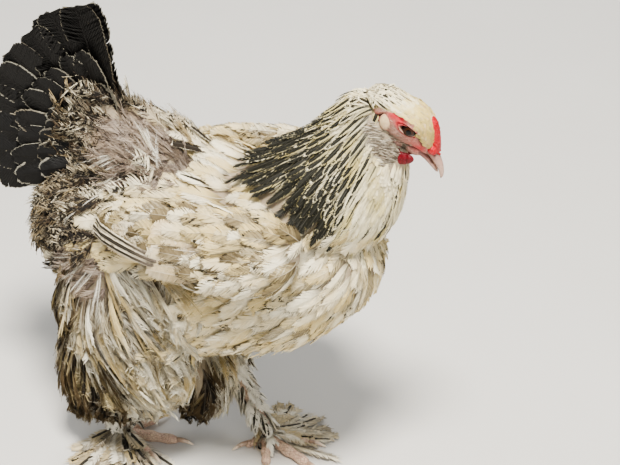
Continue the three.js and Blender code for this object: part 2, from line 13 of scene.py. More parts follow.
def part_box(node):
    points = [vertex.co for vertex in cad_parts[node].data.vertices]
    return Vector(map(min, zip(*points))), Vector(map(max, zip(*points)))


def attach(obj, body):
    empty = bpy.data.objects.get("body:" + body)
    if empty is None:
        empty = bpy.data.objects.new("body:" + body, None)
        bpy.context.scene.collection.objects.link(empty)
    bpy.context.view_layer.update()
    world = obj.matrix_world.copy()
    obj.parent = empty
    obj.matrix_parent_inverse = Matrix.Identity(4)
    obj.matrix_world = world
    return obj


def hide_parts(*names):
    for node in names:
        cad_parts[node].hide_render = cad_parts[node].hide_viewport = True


bl_info = {
    "name": "Brahma hen",
    "version": (1, 0, 0),
    "blender": (4, 5, 0),
    "location": "3D View > Sidebar > Hen",
    "description": "Dresses the solids of a Light Brahma hen in skin, feathers, comb, bill and claws",
    "category": "Object",
}

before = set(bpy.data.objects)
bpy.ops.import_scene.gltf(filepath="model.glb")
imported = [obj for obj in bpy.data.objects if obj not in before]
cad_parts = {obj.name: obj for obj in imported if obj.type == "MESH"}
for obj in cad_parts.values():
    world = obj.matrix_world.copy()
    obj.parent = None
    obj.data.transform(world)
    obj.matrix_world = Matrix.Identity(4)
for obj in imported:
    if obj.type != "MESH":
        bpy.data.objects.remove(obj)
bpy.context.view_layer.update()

# Sizes are in millimetres in the hen's own frame: +X is the way she faces, +Y her left, +Z up, and the
# origin lies on the floor under the middle of her trunk. The solids use the same frame and the same
# numbers.
MM = 0.001
LEFT = np.array([0.0, 1.0, 0.0])
SIDES = (("right", -1), ("left", 1))

# The head: its place, its pitch and yaw in degrees, and the right eye, mirrored, and the bill in its own
# frame.
HEAD_AT = Vector((176, 2, 412))
HEAD_PITCH = 42
HEAD_YAW = 2
EYE_RADIUS = 7
EYE_AT = (8, 13.2, 4)
BILL_LENGTH = 33
HEAD_TURN = Euler((0, math.radians(HEAD_PITCH), math.radians(HEAD_YAW)), "XYZ").to_matrix()
HEAD_PLACE = Matrix.Translation(HEAD_AT) @ HEAD_TURN.to_4x4()


def middle_of(node):
    """The middle of a solid's box, in millimetres in the row's frame."""
    low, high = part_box(node)
    return (low + high) / (2 * MM)


# The solids' eyes say where the hen's own frame stands in the row's.
EYES_MIDDLE = (middle_of("eye_right") + middle_of("eye_left")) / 2
ORIGIN = EYES_MIDDLE - HEAD_PLACE @ Vector((EYE_AT[0], 0, EYE_AT[2]))
TO_ROW = Matrix.Translation(ORIGIN * MM) @ Matrix.Scale(MM, 4)

# Stations of the forms: the place of the middle, and the half width and the reach up and down from there.
TRUNK = [
    [-194, 0, 222, 22, 24, 34],
    [-168, 0, 228, 56, 54, 66],
    [-125, 0, 237, 82, 76, 92],
    [-75, 0, 242, 95, 88, 108],
    [-20, 0, 243, 98, 92, 114],
    [35, 0, 245, 96, 88, 102],
    [85, 0, 255, 84, 76, 84],
    [120, 0, 272, 66, 62, 62],
    [144, 0, 292, 37, 36, 38],
]
CUSHION = [
    [-148, 0, 312, 24, 36, 40],
    [-124, 0, 314, 46, 50, 50],
    [-94, 0, 310, 56, 54, 48],
    [-58, 0, 304, 62, 46, 40],
    [-16, 0, 296, 54, 34, 30],
]
# The neck's flesh, without the ruff of hackle that the solid has on it.
NECK_FLESH = [
    [38, 0, 274, 80, 62, 30],
    [74, 0, 308, 74, 52, 60],
    [108, 0, 345, 58, 45, 76],
    [134, 1, 376, 38, 41, 59],
    [153, 2, 400, 25, 41, 38],
    [164, 2, 412, 21, 35, 23],
]
NECK_SPINE = [
    [168, 2, 416],
    [153, 2, 400],
    [134, 1, 376],
    [108, 0, 345],
    [74, 0, 308],
    [38, 0, 274],
    [0, 0, 250],
    [-40, 0, 238],
]
WING = [
    [-84, 76, 284, 5, 12, 12],
    [-62, 83, 288, 8, 24, 20],
    [-20, 90, 293, 12, 34, 32],
    [40, 91, 297, 15, 35, 36],
    [84, 81, 301, 15, 31, 34],
    [110, 62, 304, 10, 19, 21],
]
TAIL_ROOT = np.array([-100.0, 0.0, 320.0])
TAIL_CORE = [
    [12, 8, -6, 18, 26, 26],
    [-12, 10, 7, 16, 38, 38],
    [-40, 9, 21, 13, 50, 52],
    [-64, 8, 34, 8, 44, 46],
]
# The feet: ball and hock, the way the middle toe points and how far the others turn from it, in degrees, the
# first and last angle of the foot's feathers, and the stations of the thigh and of the tuft at the hock.
FEET = [
    {
        "tag": "right",
        "side": -1,
        "ball": (-107, -38),
        "hock": (-112, -46, 92),
        "heading": 13,
        "inner": 46,
        "hallux": 122,
        "outer": -34,
        "plume": (22, 128),
        "thigh": [
            [-38, -50, 236, 36, 58, 78],
            [-62, -56, 190, 44, 62, 92],
            [-76, -56, 140, 44, 72, 88],
            [-102, -58, 104, 36, 60, 62],
            [-126, -58, 72, 22, 40, 40],
            [-140, -58, 46, 9, 16, 20],
        ],
        "tuft": [
            [-118, -50, 100, 14, 16, 20],
            [-128, -52, 76, 15, 18, 24],
            [-140, -52, 52, 12, 15, 18],
            [-150, -52, 36, 6, 8, 10],
        ],
    },
    {
        "tag": "left",
        "side": 1,
        "ball": (32, 15),
        "hock": (-8, 30, 86),
        "heading": -19,
        "inner": -46,
        "hallux": -113,
        "outer": 34,
        "plume": (4, 104),
        "thigh": [
            [8, 50, 236, 36, 58, 74],
            [4, 53, 190, 43, 56, 78],
            [-4, 48, 144, 37, 42, 62],
            [-12, 39, 108, 24, 24, 40],
            [-15, 34, 84, 12, 13, 20],
        ],
        "tuft": [
            [-16, 32, 108, 14, 18, 22],
            [-26, 20, 76, 16, 23, 27],
            [-34, 9, 46, 15, 23, 27],
            [-38, 0, 20, 8, 12, 14],
        ],
    },
]
# The toes: name, length and thickness.
TOES = [("inner", 44, 5.2), ("middle", 62, 5.8), ("outer", 48, 5.0), ("hallux", 24, 4.4)]


# Colours and small tools.


def linear(sheet):
    """An sRGB hex value as linear red, green, blue and alpha."""
    parts = [int(sheet[i : i + 2], 16) / 255 for i in (1, 3, 5)]
    return tuple(c / 12.92 if c <= 0.04045 else ((c + 0.055) / 1.055) ** 2.4 for c in parts) + (1.0,)


def colour(name, sheet, description):
    """A colour property that starts at an sRGB hex value."""
    return FloatVectorProperty(name=name, description=description, subtype="COLOR", min=0.0, max=1.0,
                               default=linear(sheet)[:3])


def hue(name):
    """A colour of the settings, with its alpha."""
    return (*getattr(bpy.context.scene.hen_colours, name), 1.0)


def unit(rows):
    """Rows of vectors at length one."""
    return rows / np.maximum(np.linalg.norm(rows, axis=-1, keepdims=True), 1e-9)


def smooth(low, high, value):
    """0 below low, 1 above high, and a soft step between."""
    t = np.clip((value - low) / (high - low), 0, 1)
    return t * t * (3 - 2 * t)


def curve(points, shares):
    """Points of the centripetal Catmull-Rom curve that the solids' lofts follow, at shares from 0 to 1."""
    pts = np.asarray(points, float)
    last = len(pts) - 1
    place = np.atleast_1d(np.asarray(shares, float)) * last
    i = np.clip(np.floor(place).astype(int), 0, last - 1)
    w = (place - i)[:, None]
    pad = np.vstack([2 * pts[0] - pts[1], pts, 2 * pts[-1] - pts[-2]])
    p0, p1, p2, p3 = (pad[i + k] for k in range(4))

    def step(a, b):
        return np.sum((a - b) ** 2, axis=1, keepdims=True) ** 0.25

    d1 = step(p1, p2)
    d1[d1 < 1e-4] = 1
    d0, d2 = step(p0, p1), step(p2, p3)
    d0, d2 = np.where(d0 < 1e-4, d1, d0), np.where(d2 < 1e-4, d1, d2)
    t1 = ((p1 - p0) / d0 - (p2 - p0) / (d0 + d1) + (p2 - p1) / d1) * d1
    t2 = ((p2 - p1) / d1 - (p3 - p1) / (d1 + d2) + (p3 - p2) / d2) * d1
    return p1 + t1 * w + (3 * (p2 - p1) - 2 * t1 - t2) * w**2 + (2 * (p1 - p2) + t1 + t2) * w**3


def loft(stations, around=32, along=24, across=LEFT, blunt=0.14, square=2.0, floor=-1e3, inset=0.0):
    """A bmesh of a rounded form along a bent spine, as in the solids, drawn in by inset on every side."""
    stations = np.asarray(stations, float)
    made = bmesh.new()
    bmesh.ops.create_uvsphere(made, u_segments=around, v_segments=along, radius=1)
    ball = np.round([v.co for v in made.verts], 5)
    t = np.arccos(np.clip(ball[:, 2], -1, 1)) / math.pi
    ring = np.arctan2(ball[:, 1], ball[:, 0])
    spine, sizes = stations[:, :3], np.maximum(stations[:, 3:] - inset, 0.5)
    ahead = unit(curve(spine, np.minimum(t + 1e-4, 1)) - curve(spine, np.maximum(t - 1e-4, 0)))
    left = unit(across - ahead * (ahead @ across)[:, None])
    over = np.cross(ahead, left)
    near = np.minimum(t, 1 - t) / blunt
    full = np.where(near < 1, np.sqrt(np.maximum(1 - (1 - near) ** 2, 0)), 1)
    full[np.hypot(ball[:, 0], ball[:, 1]) < 1e-4] = 0
    size = curve(sizes, t) * full[:, None]
    wide, rise = (np.sign(c) * np.abs(c) ** (2 / square) for c in (np.cos(ring), np.sin(ring)))
    moved = curve(spine, t) + left * (wide * size[:, 0])[:, None]
    moved += over * (rise * np.where(rise > 0, size[:, 1], size[:, 2]))[:, None]
    moved[:, 2] = np.maximum(moved[:, 2], floor)
    for vert, place in zip(made.verts, moved):
        vert.co = place
    bmesh.ops.recalc_face_normals(made, faces=made.faces)
    return made


def ball(centre, radii, segments=16, turn=None):
    """A bmesh of an ellipsoid."""
    made = bmesh.new()
    bmesh.ops.create_uvsphere(made, u_segments=segments, v_segments=max(6, segments * 3 // 4), radius=1)
    place = Matrix.Translation(centre) @ (turn.to_4x4() if turn else Matrix.Identity(4))
    bmesh.ops.transform(made, matrix=place @ Matrix.Diagonal((*radii, 1)), verts=made.verts)
    return made


def gathered(forms, place=None):
    """One bmesh of several, which are used up, moved by place."""
    made = bmesh.new()
    for form in forms:
        held = bpy.data.meshes.new("held")
        form.to_mesh(held)
        form.free()
        made.from_mesh(held)
        bpy.data.meshes.remove(held)
    if place:
        bmesh.ops.transform(made, matrix=place, verts=made.verts)
    return made


def piece(name, made):
    """An object in the row's frame from a bmesh in the hen's, which is used up."""
    bmesh.ops.transform(made, matrix=TO_ROW, verts=made.verts)
    mesh = bpy.data.meshes.new(name)
    made.to_mesh(mesh)
    made.free()
    mesh.polygons.foreach_set("use_smooth", [True] * len(mesh.polygons))
    made_object = bpy.data.objects.new(name, mesh)
    bpy.context.scene.collection.objects.link(made_object)
    return made_object


def remeshed(thing, voxel, rounds, factor):
    """Turns a piece into one closed surface and smooths it."""
    grid = thing.modifiers.new("grid", "REMESH")
    grid.mode, grid.voxel_size, grid.adaptivity = "VOXEL", voxel * MM, 0
    soft = thing.modifiers.new("soft", "SMOOTH")
    soft.factor, soft.iterations = factor, rounds
    shown = thing.evaluated_get(bpy.context.evaluated_depsgraph_get())
    mesh = bpy.data.meshes.new_from_object(shown)
    old = thing.data
    thing.modifiers.clear()
    thing.data = mesh
    bpy.data.meshes.remove(old)
    mesh.name = thing.name
    mesh.polygons.foreach_set("use_smooth", [True] * len(mesh.polygons))


def shaped(name, forms, finish, voxel=None, rounds=1, factor=0.5, place=None):
    """A piece of several forms moved by place, which is one closed surface where voxel is given."""
    thing = piece(name, gathered(forms, place))
    if voxel:
        remeshed(thing, voxel, rounds, factor)
    thing.data.materials.append(finish_of(finish))
    return thing


def settle(thing, *replaced, slot=None):
    """Hangs a finished piece on the hen's only body and hides the solids that it stands for."""
    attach(thing, "root")
    if replaced:
        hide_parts(*replaced)


def points_of(mesh):
    """A mesh's vertices in millimetres in the hen's frame."""
    places = np.zeros(len(mesh.vertices) * 3, np.float32)
    mesh.vertices.foreach_get("co", places)
    return places.reshape(-1, 3).astype(float) / MM - np.array(ORIGIN)


class Surface:
    """A closed surface that feathers are rooted on, in the hen's frame."""

    def __init__(self, mesh):
        mesh.calc_loop_triangles()
        self.points = points_of(mesh)
        corners = np.zeros(len(mesh.loop_triangles) * 3, np.int32)
        mesh.loop_triangles.foreach_get("vertices", corners)
        self.faces = corners.reshape(-1, 3)
        flat = np.zeros(len(mesh.vertices) * 3, np.float32)
        mesh.vertex_normals.foreach_get("vector", flat)
        self.normals = unit(flat.reshape(-1, 3).astype(float))
        self.tree = BVHTree.FromPolygons(self.points.tolist(), self.faces.tolist())
        self.unwrap = None
        layer = mesh.uv_layers.get("OFBake")
        if layer:
            loops = np.zeros(len(mesh.loop_triangles) * 3, np.int32)
            mesh.loop_triangles.foreach_get("loops", loops)
            flat = np.zeros(len(mesh.loops) * 2, np.float32)
            layer.data.foreach_get("uv", flat)
            self.unwrap = flat.reshape(-1, 2)[loops].reshape(-1, 3, 2)

    def shares(self, places, index):
        """Barycentric shares of points in their triangles."""
        a, b, c = (self.points[self.faces[index, k]] for k in range(3))
        v0, v1, v2 = b - a, c - a, places - a
        d00, d01, d11 = (v0 * v0).sum(1), (v0 * v1).sum(1), (v1 * v1).sum(1)
        d20, d21 = (v2 * v0).sum(1), (v2 * v1).sum(1)
        base = np.maximum(d00 * d11 - d01 * d01, 1e-12)
        v, w = (d11 * d20 - d01 * d21) / base, (d00 * d21 - d01 * d20) / base
        return np.clip(np.stack([1 - v - w, v, w], 1), 0, 1)

    def nearest(self, places):
        """The nearest points of the surface, their smooth normals, and their triangles."""
        found = [self.tree.find_nearest(p) for p in np.asarray(places, float).tolist()]
        spots = np.array([f[0] for f in found])
        index = np.array([f[2] for f in found])
        shares = self.shares(spots, index)
        normals = unit((self.normals[self.faces[index]] * shares[:, :, None]).sum(1))
        return spots, normals, index

    def unwrapped(self, places):
        """Where points lie on the unwrap of the surface."""
        spots, _, index = self.nearest(places)
        return (self.unwrap[index] * self.shares(spots, index)[:, :, None]).sum(1)

    def scatter(self, rng, spacing, accept=None):
        """Points spread over the surface at about the same distance, at random."""
        a, b, c = (self.points[self.faces[:, k]] for k in range(3))
        areas = np.linalg.norm(np.cross(b - a, c - a), axis=1) / 2
        count = int(areas.sum() / spacing**2 * TRIES)
        pick = rng.choice(len(areas), count, p=areas / areas.sum())
        r1, r2 = np.sqrt(rng.random(count)), rng.random(count)
        places = a[pick] * (1 - r1)[:, None] + b[pick] * (r1 * (1 - r2))[:, None]
        places += c[pick] * (r1 * r2)[:, None]
        if accept is not None:
            places = places[accept(places)]
        return thinned(places, spacing)


def thinned(places, spacing):
    """Those of some points that keep a distance from all that come before them."""
    cells, kept = {}, []
    keys = np.floor(places / spacing).astype(int)
    near = [(i, j, k) for i in (-1, 0, 1) for j in (-1, 0, 1) for k in (-1, 0, 1)]
    limit = spacing**2
    for n, (place, key) in enumerate(zip(places.tolist(), keys.tolist())):
        crowded = False
        for i, j, k in near:
            for other in cells.get((key[0] + i, key[1] + j, key[2] + k), ()):
                if (other[0]
                    - place[0]) ** 2 + (other[1] - place[1]) ** 2 + (other[2] - place[2]) ** 2 < limit:
                    crowded = True
                    break
            if crowded:
                break
        if not crowded:
            cells.setdefault(tuple(key), []).append(place)
            kept.append(n)
    return places[kept]


# Feathers. A feather is drawn once in its own space, as a shaft and rows of barbs, and laid many times
# along paths over the skin. In that space x is the share of the length, y the share of the half width and z
# a height in half widths. Each barb is a narrow ribbon from the shaft to the edge: side by side the ribbons
# close the vane, and their free ends fray its edge.

ROUND = [(0, 0.3), (0.15, 0.62), (0.35, 0.88), (0.6, 1), (0.8, 0.9), (0.92, 0.62), (1, 0.2)]
SOFT = [(0, 0.3), (0.15, 0.6), (0.4, 0.92), (0.62, 1), (0.8, 0.78), (0.93, 0.4), (1, 0.08)]
LANCE = [(0, 0.4), (0.15, 0.7), (0.4, 1), (0.65, 0.86), (0.85, 0.5), (1, 0.06)]
BLADE = [(0, 0.35), (0.12, 0.7), (0.4, 0.95), (0.75, 1), (0.92, 0.8), (1, 0.35)]
FAN = [(0, 0.2), (0.15, 0.45), (0.5, 0.85), (0.8, 1), (0.93, 0.86), (1, 0.45)]
WISP = [(0, 0.6), (0.3, 0.9), (0.6, 1), (0.85, 0.8), (1, 0.4)]
# The share of a feather's length below its first barb, and the places across a barb where its ribbon is
# drawn.
BARE_FOOT = 0.06
BARB_STEPS = (0, 0.45, 0.82, 1)
# The shaft: the share of the length where it ends, its height over the vane, and how much it thins on the
# way.
SHAFT_END = 0.99
SHAFT_HEIGHT = 0.06
SHAFT_THINNING = 0.8
# The share of the length where the last barb is rooted.
LAST_BARB = 0.985
# How unevenly clusters of barbs drop, barbs twist and the points of a barb stray, and how far the edges of
# a ribbon lie over and under its middle, all in half widths.
DROP = 0.07
TWIST = 0.03
STRAY = 0.015
TILT = 0.02
# Points along the path of a laid feather.
PATH_ROWS = 6
# How much of a new normal and of the old heading a path takes at each of its points.
NORMAL_TURN = 0.6
HEADING_KEPT = 0.6
# Places tried for each root, and the least distance of two roots from different forms, as a share of their
# spacing.
TRIES = 14
CLOSEST = 0.8
# The width of the patch of the skin's unwrap that one feather takes.
BAKE_PATCH = 0.003
# Feathers that would dip under this height are pressed flat on the floor, to this share of the dip.
FLOOR_CLEAR = 2.0
FLOOR_PRESS = 0.12


class Cut:
    """How a kind of feather is drawn: its outline, the barbs on each side, how far they sweep to the tip,
    how uneven their ends are, how often and how far they part, how the vane bows and the barbs wave, how
    wide a ribbon is and what is left of that at its end, and the half width of the shaft."""

    def __init__(self, edge, barbs, sweep=0.22, fray=0.02, cleft=0.12, spread=0.06, bow=0.12, wave=0.0,
                 width=0.62, taper=0.3, shaft=0.05, blunt=0.3):
        self.edge = np.array(edge, float)
        self.barbs, self.sweep, self.fray, self.cleft, self.spread = barbs, sweep, fray, cleft, spread
        self.bow, self.wave, self.width, self.taper = bow, wave, width, taper
        self.shaft, self.blunt = shaft, blunt

    def half(self, share):
        """The half width of the outline at a share of the length."""
        return np.interp(share, self.edge[:, 0], self.edge[:, 1])


def drawn(cut, rng):
    """One feather in its own space: vertices, triangles, and for each vertex how near the edge it lies, and
    a random share that is the same all along a barb and much alike in a cluster of barbs."""
    verts, edges, streaks, faces = [], [], [], []
    for k in range(PATH_ROWS):
        share = k / (PATH_ROWS - 1)
        wide = cut.shaft * (1 - SHAFT_THINNING * share)
        verts += [(share * SHAFT_END, -wide, SHAFT_HEIGHT), (share * SHAFT_END, wide, SHAFT_HEIGHT)]
        edges += [0.0, 0.0]
        streaks += [0.5, 0.5]
        if k:
            a = 2 * k - 2
            faces += [(a, a + 2, a + 3), (a, a + 3, a + 1)]
    gap = (LAST_BARB - BARE_FOOT) / cut.barbs
    last = len(BARB_STEPS) - 1
    for side in (-1, 1):
        lean, drop, shared = 0.0, 0.0, rng.random()
        for i in range(cut.barbs):
            root = BARE_FOOT + gap * (i + 0.5)
            if rng.random() < cut.cleft:
                lean, drop, shared = rng.normal(0, cut.spread), rng.normal(0, DROP), rng.random()
            tip = min(root + cut.sweep * (1 - root) ** 0.5 + 0.3 * gap, 1.0) + lean + rng.normal(0, cut.fray)
            reach = cut.half(min(root + cut.sweep * (1 - root), 1.0)) * (1 + rng.normal(0, 1.6 * cut.fray))
            start = len(verts)
            wave = rng.normal(0, cut.wave, last + 1)
            twist = rng.normal(0, TWIST)
            streak = 0.5 * shared + 0.5 * rng.random()
            for j, f in enumerate(BARB_STEPS):
                s = root + (tip - root) * f**1.25 + wave[j] * f
                u = side * reach * f
                z = -cut.bow * (reach * f) ** 2 + drop * f + twist * f + rng.normal(0, STRAY) * f
                half = gap * cut.width * (1 - (1 - cut.taper) * max(0.0, (f - 0.45) / 0.55))
                half *= cut.blunt if j == last else 1
                verts += [(s - half, u, z - TILT), (s + half, u, z + TILT)]
                edges += [f, f]
                streaks += [streak, streak]
                if j:
                    a = start + 2 * j - 2
                    quad = [(a, a + 2, a + 3), (a, a + 3, a + 1)]
                    faces += quad if side < 0 else [(f0, f2, f1) for f0, f1, f2 in quad]
    return np.array(verts), np.array(faces), np.array(edges), np.array(streaks)


def templates(rng, count, edge, barbs, **how):
    """Several feathers of one kind."""
    cut = Cut(edge, barbs, **how)
    return [drawn(cut, rng) for _ in range(count)]


class Plumage:
    """Feathers that are gathered into one piece."""

    def __init__(self):
        self.verts, self.faces, self.vane, self.bake, self.mark, self.streak = [], [], [], [], [], []
        self.count = 0

    def add(self, shape, paths, normals, sides, half, roots, marks):
        """Lays one drawn feather along many paths, each of rows of points, normals and side vectors."""
        verts, faces, edges, streaks = shape
        number, rows = paths.shape[:2]
        place = np.clip(verts[:, 0], 0, 1) * (rows - 1)
        i = np.minimum(np.floor(place).astype(int), rows - 2)
        w = (place - i)[None, :, None]
        at, up, out = (a[:, i] * (1 - w) + a[:, i + 1] * w for a in (paths, normals, sides))
        beyond = np.maximum(verts[:, 0] - 1, 0)[None, :, None] * (rows - 1)
        at = at + (paths[:, -1:] - paths[:, -2:-1]) * beyond
        wide = half[:, None, None]
        spots = at + out * wide * verts[None, :, 1, None] + up * wide * verts[None, :, 2, None]
        self.verts.append(spots.reshape(-1, 3))
        shift = self.count + np.arange(number)[:, None, None] * len(verts)
        self.faces.append((faces[None] + shift).reshape(-1, 3))
        self.count += number * len(verts)
        vane = np.stack([edges * np.sign(verts[:, 1]) * 0.5 + 0.5, verts[:, 0]], 1)
        self.vane.append(np.tile(vane, (number, 1)))
        patch = np.stack([verts[:, 1] * BAKE_PATCH / 2, (verts[:, 0] - 0.5) * BAKE_PATCH], 1)
        self.bake.append((roots[:, None, :] + patch[None]).reshape(-1, 2))
        self.mark.append(np.repeat(marks, len(verts), axis=0))
        self.streak.append(np.tile(streaks, number))

    def piece(self, name, material):
        """The object of all that was laid."""
        places = np.vstack(self.verts)
        under = np.minimum(places[:, 2] - FLOOR_CLEAR, 0)
        places[:, 2] -= (1 - FLOOR_PRESS) * under
        places = (places + np.array(ORIGIN)) * MM
        faces = np.vstack(self.faces)
        mesh = bpy.data.meshes.new(name)
        mesh.vertices.add(len(places))
        mesh.vertices.foreach_set("co", places.astype(np.float32).ravel())
        mesh.loops.add(faces.size)
        mesh.loops.foreach_set("vertex_index", faces.astype(np.int32).ravel())
        mesh.polygons.add(len(faces))
        mesh.polygons.foreach_set("loop_start", np.arange(0, faces.size, 3, dtype=np.int32))
        mesh.polygons.foreach_set("use_smooth", np.ones(len(faces), bool))
        for label, rows in (("Vane", self.vane), ("OFBake", self.bake)):
            layer = mesh.uv_layers.new(name=label)
            layer.data.foreach_set("uv", np.vstack(rows)[faces.ravel()].astype(np.float32).ravel())
        mark = mesh.color_attributes.new("Mark", "FLOAT_COLOR", "POINT")
        mark.data.foreach_set("color", np.vstack(self.mark).astype(np.float32).ravel())
        streak = mesh.attributes.new("Streak", "FLOAT", "POINT")
        streak.data.foreach_set("value", np.concatenate(self.streak).astype(np.float32))
        mesh.update(calc_edges=True)
        mesh.validate()
        mesh.materials.append(material)
        made = bpy.data.objects.new(name, mesh)
        bpy.context.scene.collection.objects.link(made)
        return made


def lie(surface, roots, flow, length, depth, sink=1.0, rng=None, waver=0.12, rise=0.8, free=None):
    """Paths over the surface from each root along the lie of the coat, rising to depth at their tips. Where
    free is one instead of nought they hang straight, off the surface."""
    spots, normals, _ = surface.nearest(roots)
    heading = flow(spots)
    if rng is not None:
        heading = unit(heading) + rng.normal(0, waver, heading.shape)
    paths, ups, outs = [], [], []
    for k in range(PATH_ROWS):
        flat = unit(heading - normals * (heading * normals).sum(1)[:, None])
        heading = flat
        if free is not None:
            heading = unit(flat * (1 - free[:, None]) + unit(flow(spots)) * free[:, None])
        share = k / (PATH_ROWS - 1)
        height = -sink + (depth + sink) * share**rise
        paths.append(spots + normals * height[:, None])
        ups.append(normals)
        outs.append(np.cross(normals, heading))
        if k < PATH_ROWS - 1:
            step = (length / (PATH_ROWS - 1))[:, None]
            ahead = spots + heading * step
            near, fresh, _ = surface.nearest(ahead)
            turned = unit(normals * (1 - NORMAL_TURN) + fresh * NORMAL_TURN)
            fresh_heading = HEADING_KEPT * heading + (1 - HEADING_KEPT) * unit(flow(near))
            if free is None:
                spots, normals, heading = near, turned, fresh_heading
            else:
                own = free[:, None]
                spots, normals = ahead * own + near * (1 - own), unit(normals * own + turned * (1 - own))
                heading = heading * own + fresh_heading * (1 - own)
    return np.stack(paths, 1), np.stack(ups, 1), np.stack(outs, 1)


def lay(coat, shapes, rng, surface, roots, flow, length, half, depth, marks, roll=0.0, **how):
    """Gives every root one of the drawn shapes. length, half and depth may be one value or one for each
    root."""
    count = len(roots)
    if not count:
        return
    length, half, depth = (np.broadcast_to(np.asarray(a, float), count).copy()
                           for a in (length, half, depth))
    paths, ups, outs = lie(surface, roots, flow, length, depth, rng=rng, **how)
    ups, outs = rolled(rng, roll, ups, outs)
    strew(coat, shapes, rng, surface, roots, (paths, ups, outs), half, marks)


def rolled(rng, roll, ups, outs):
    """Feathers turned about their shafts, each by a lean of its own."""
    lean = rng.normal(0, roll, len(ups))[:, None, None]
    return unit(ups - outs * lean), unit(outs + ups * lean)


def strew(coat, shapes, rng, surface, roots, rows, half, marks):
    """Lays one of the drawn shapes, picked at random, along each path of rows of points, normals and side
    vectors."""
    bake = surface.unwrapped(roots)
    kinds = rng.integers(0, len(shapes), len(roots))
    for kind, shape in enumerate(shapes):
        own = kinds == kind
        if own.any():
            coat.add(shape, *(row[own] for row in rows), half[own], bake[own], marks[own])


def marked(rng, count, tone, ink, warm=0.0, spread=(0.15, 0.15, 0.15)):
    """The mark of each feather: how shaded, how black, a random share, and how warm it is."""
    values = (tone, ink, warm)
    shaded, black, warmth = (value + rng.normal(0, stray, count) for value, stray in zip(values, spread))
    return np.clip(np.stack([shaded, black, rng.random(count), warmth], 1), 0, 1)


# Materials.

# How often the shading of a vane goes up and down along it, as 34 barbs would, in radians.
BARB_WAVES = 34.0 * 6.283
# Plates of a toe's skin in a metre.
SCUTES = 420.0


def add(tree, kind, settings=None, **sockets):
    """Adds a node with its settings. A socket is named, or numbered as s0, s1, and takes a value or an
    output."""
    node = tree.nodes.new("ShaderNode" + kind)
    for key, value in (settings or {}).items():
        setattr(node, key, value)
    for key, value in sockets.items():
        number = key[1:]
        socket = node.inputs[int(number) if key[0] == "s" and number.isdigit() else key.replace("_", " ")]
        if isinstance(value, bpy.types.NodeSocket):
            tree.links.new(value, socket)
        else:
            socket.default_value = value
    return node


def blended(tree, share, first, second):
    """The output of a colour mix."""
    return add(tree, "Mix", {"data_type": "RGBA"}, s0=share, s6=first, s7=second).outputs[2]


def maths(tree, operation, *values):
    """The output of a sum on numbers."""
    sockets = {f"s{at}": value for at, value in enumerate(values)}
    return add(tree, "Math", {"operation": operation}, **sockets).outputs[0]


def ranged(tree, value, low, high, to_low=0.0, to_high=1.0):
    """The output of a smooth map of a number from one range to another."""
    node = add(tree, "MapRange", {"interpolation_type": "SMOOTHSTEP"}, s0=value, s1=low, s2=high, s3=to_low,
               s4=to_high)
    return node.outputs[0]


def noise(tree, scale, detail=3.0, roughness=0.55, distortion=0.0):
    """The output of a noise over Object coordinates; its scale is in cells a metre."""
    place = add(tree, "TexCoord").outputs["Object"]
    return add(tree, "TexNoise", None, Vector=place, Scale=scale, Detail=detail, Roughness=roughness,
               Distortion=distortion).outputs[0]


def cells(tree, scale):
    """The output of a pattern of cells over Object coordinates: how far a point lies from its cell's
    middle."""
    return add(tree, "TexVoronoi", None, Vector=add(tree, "TexCoord").outputs["Object"],
               Scale=scale).outputs[0]


def material(name, **surface):
    """A new material: its node tree and its principled shader, with values set on the shader's own
    sockets."""
    made = bpy.data.materials.new(name)
    made.use_nodes = True
    tree = made.node_tree
    tree.nodes.clear()
    shader = add(tree, "BsdfPrincipled", None, **surface)
    add(tree, "OutputMaterial", None, Surface=shader.outputs[0])
    return made, tree, shader


def wire(tree, shader, tint, height=None, strength=0.4, distance=0.0004):
    """Joins a colour and a bump height to a shader; the bump's distance is in metres."""
    tree.links.new(tint, shader.inputs["Base Color"])
    if height is not None:
        bump = add(tree, "Bump", None, Strength=strength, Distance=distance, Height=height)
        tree.links.new(bump.outputs[0], shader.inputs["Normal"])


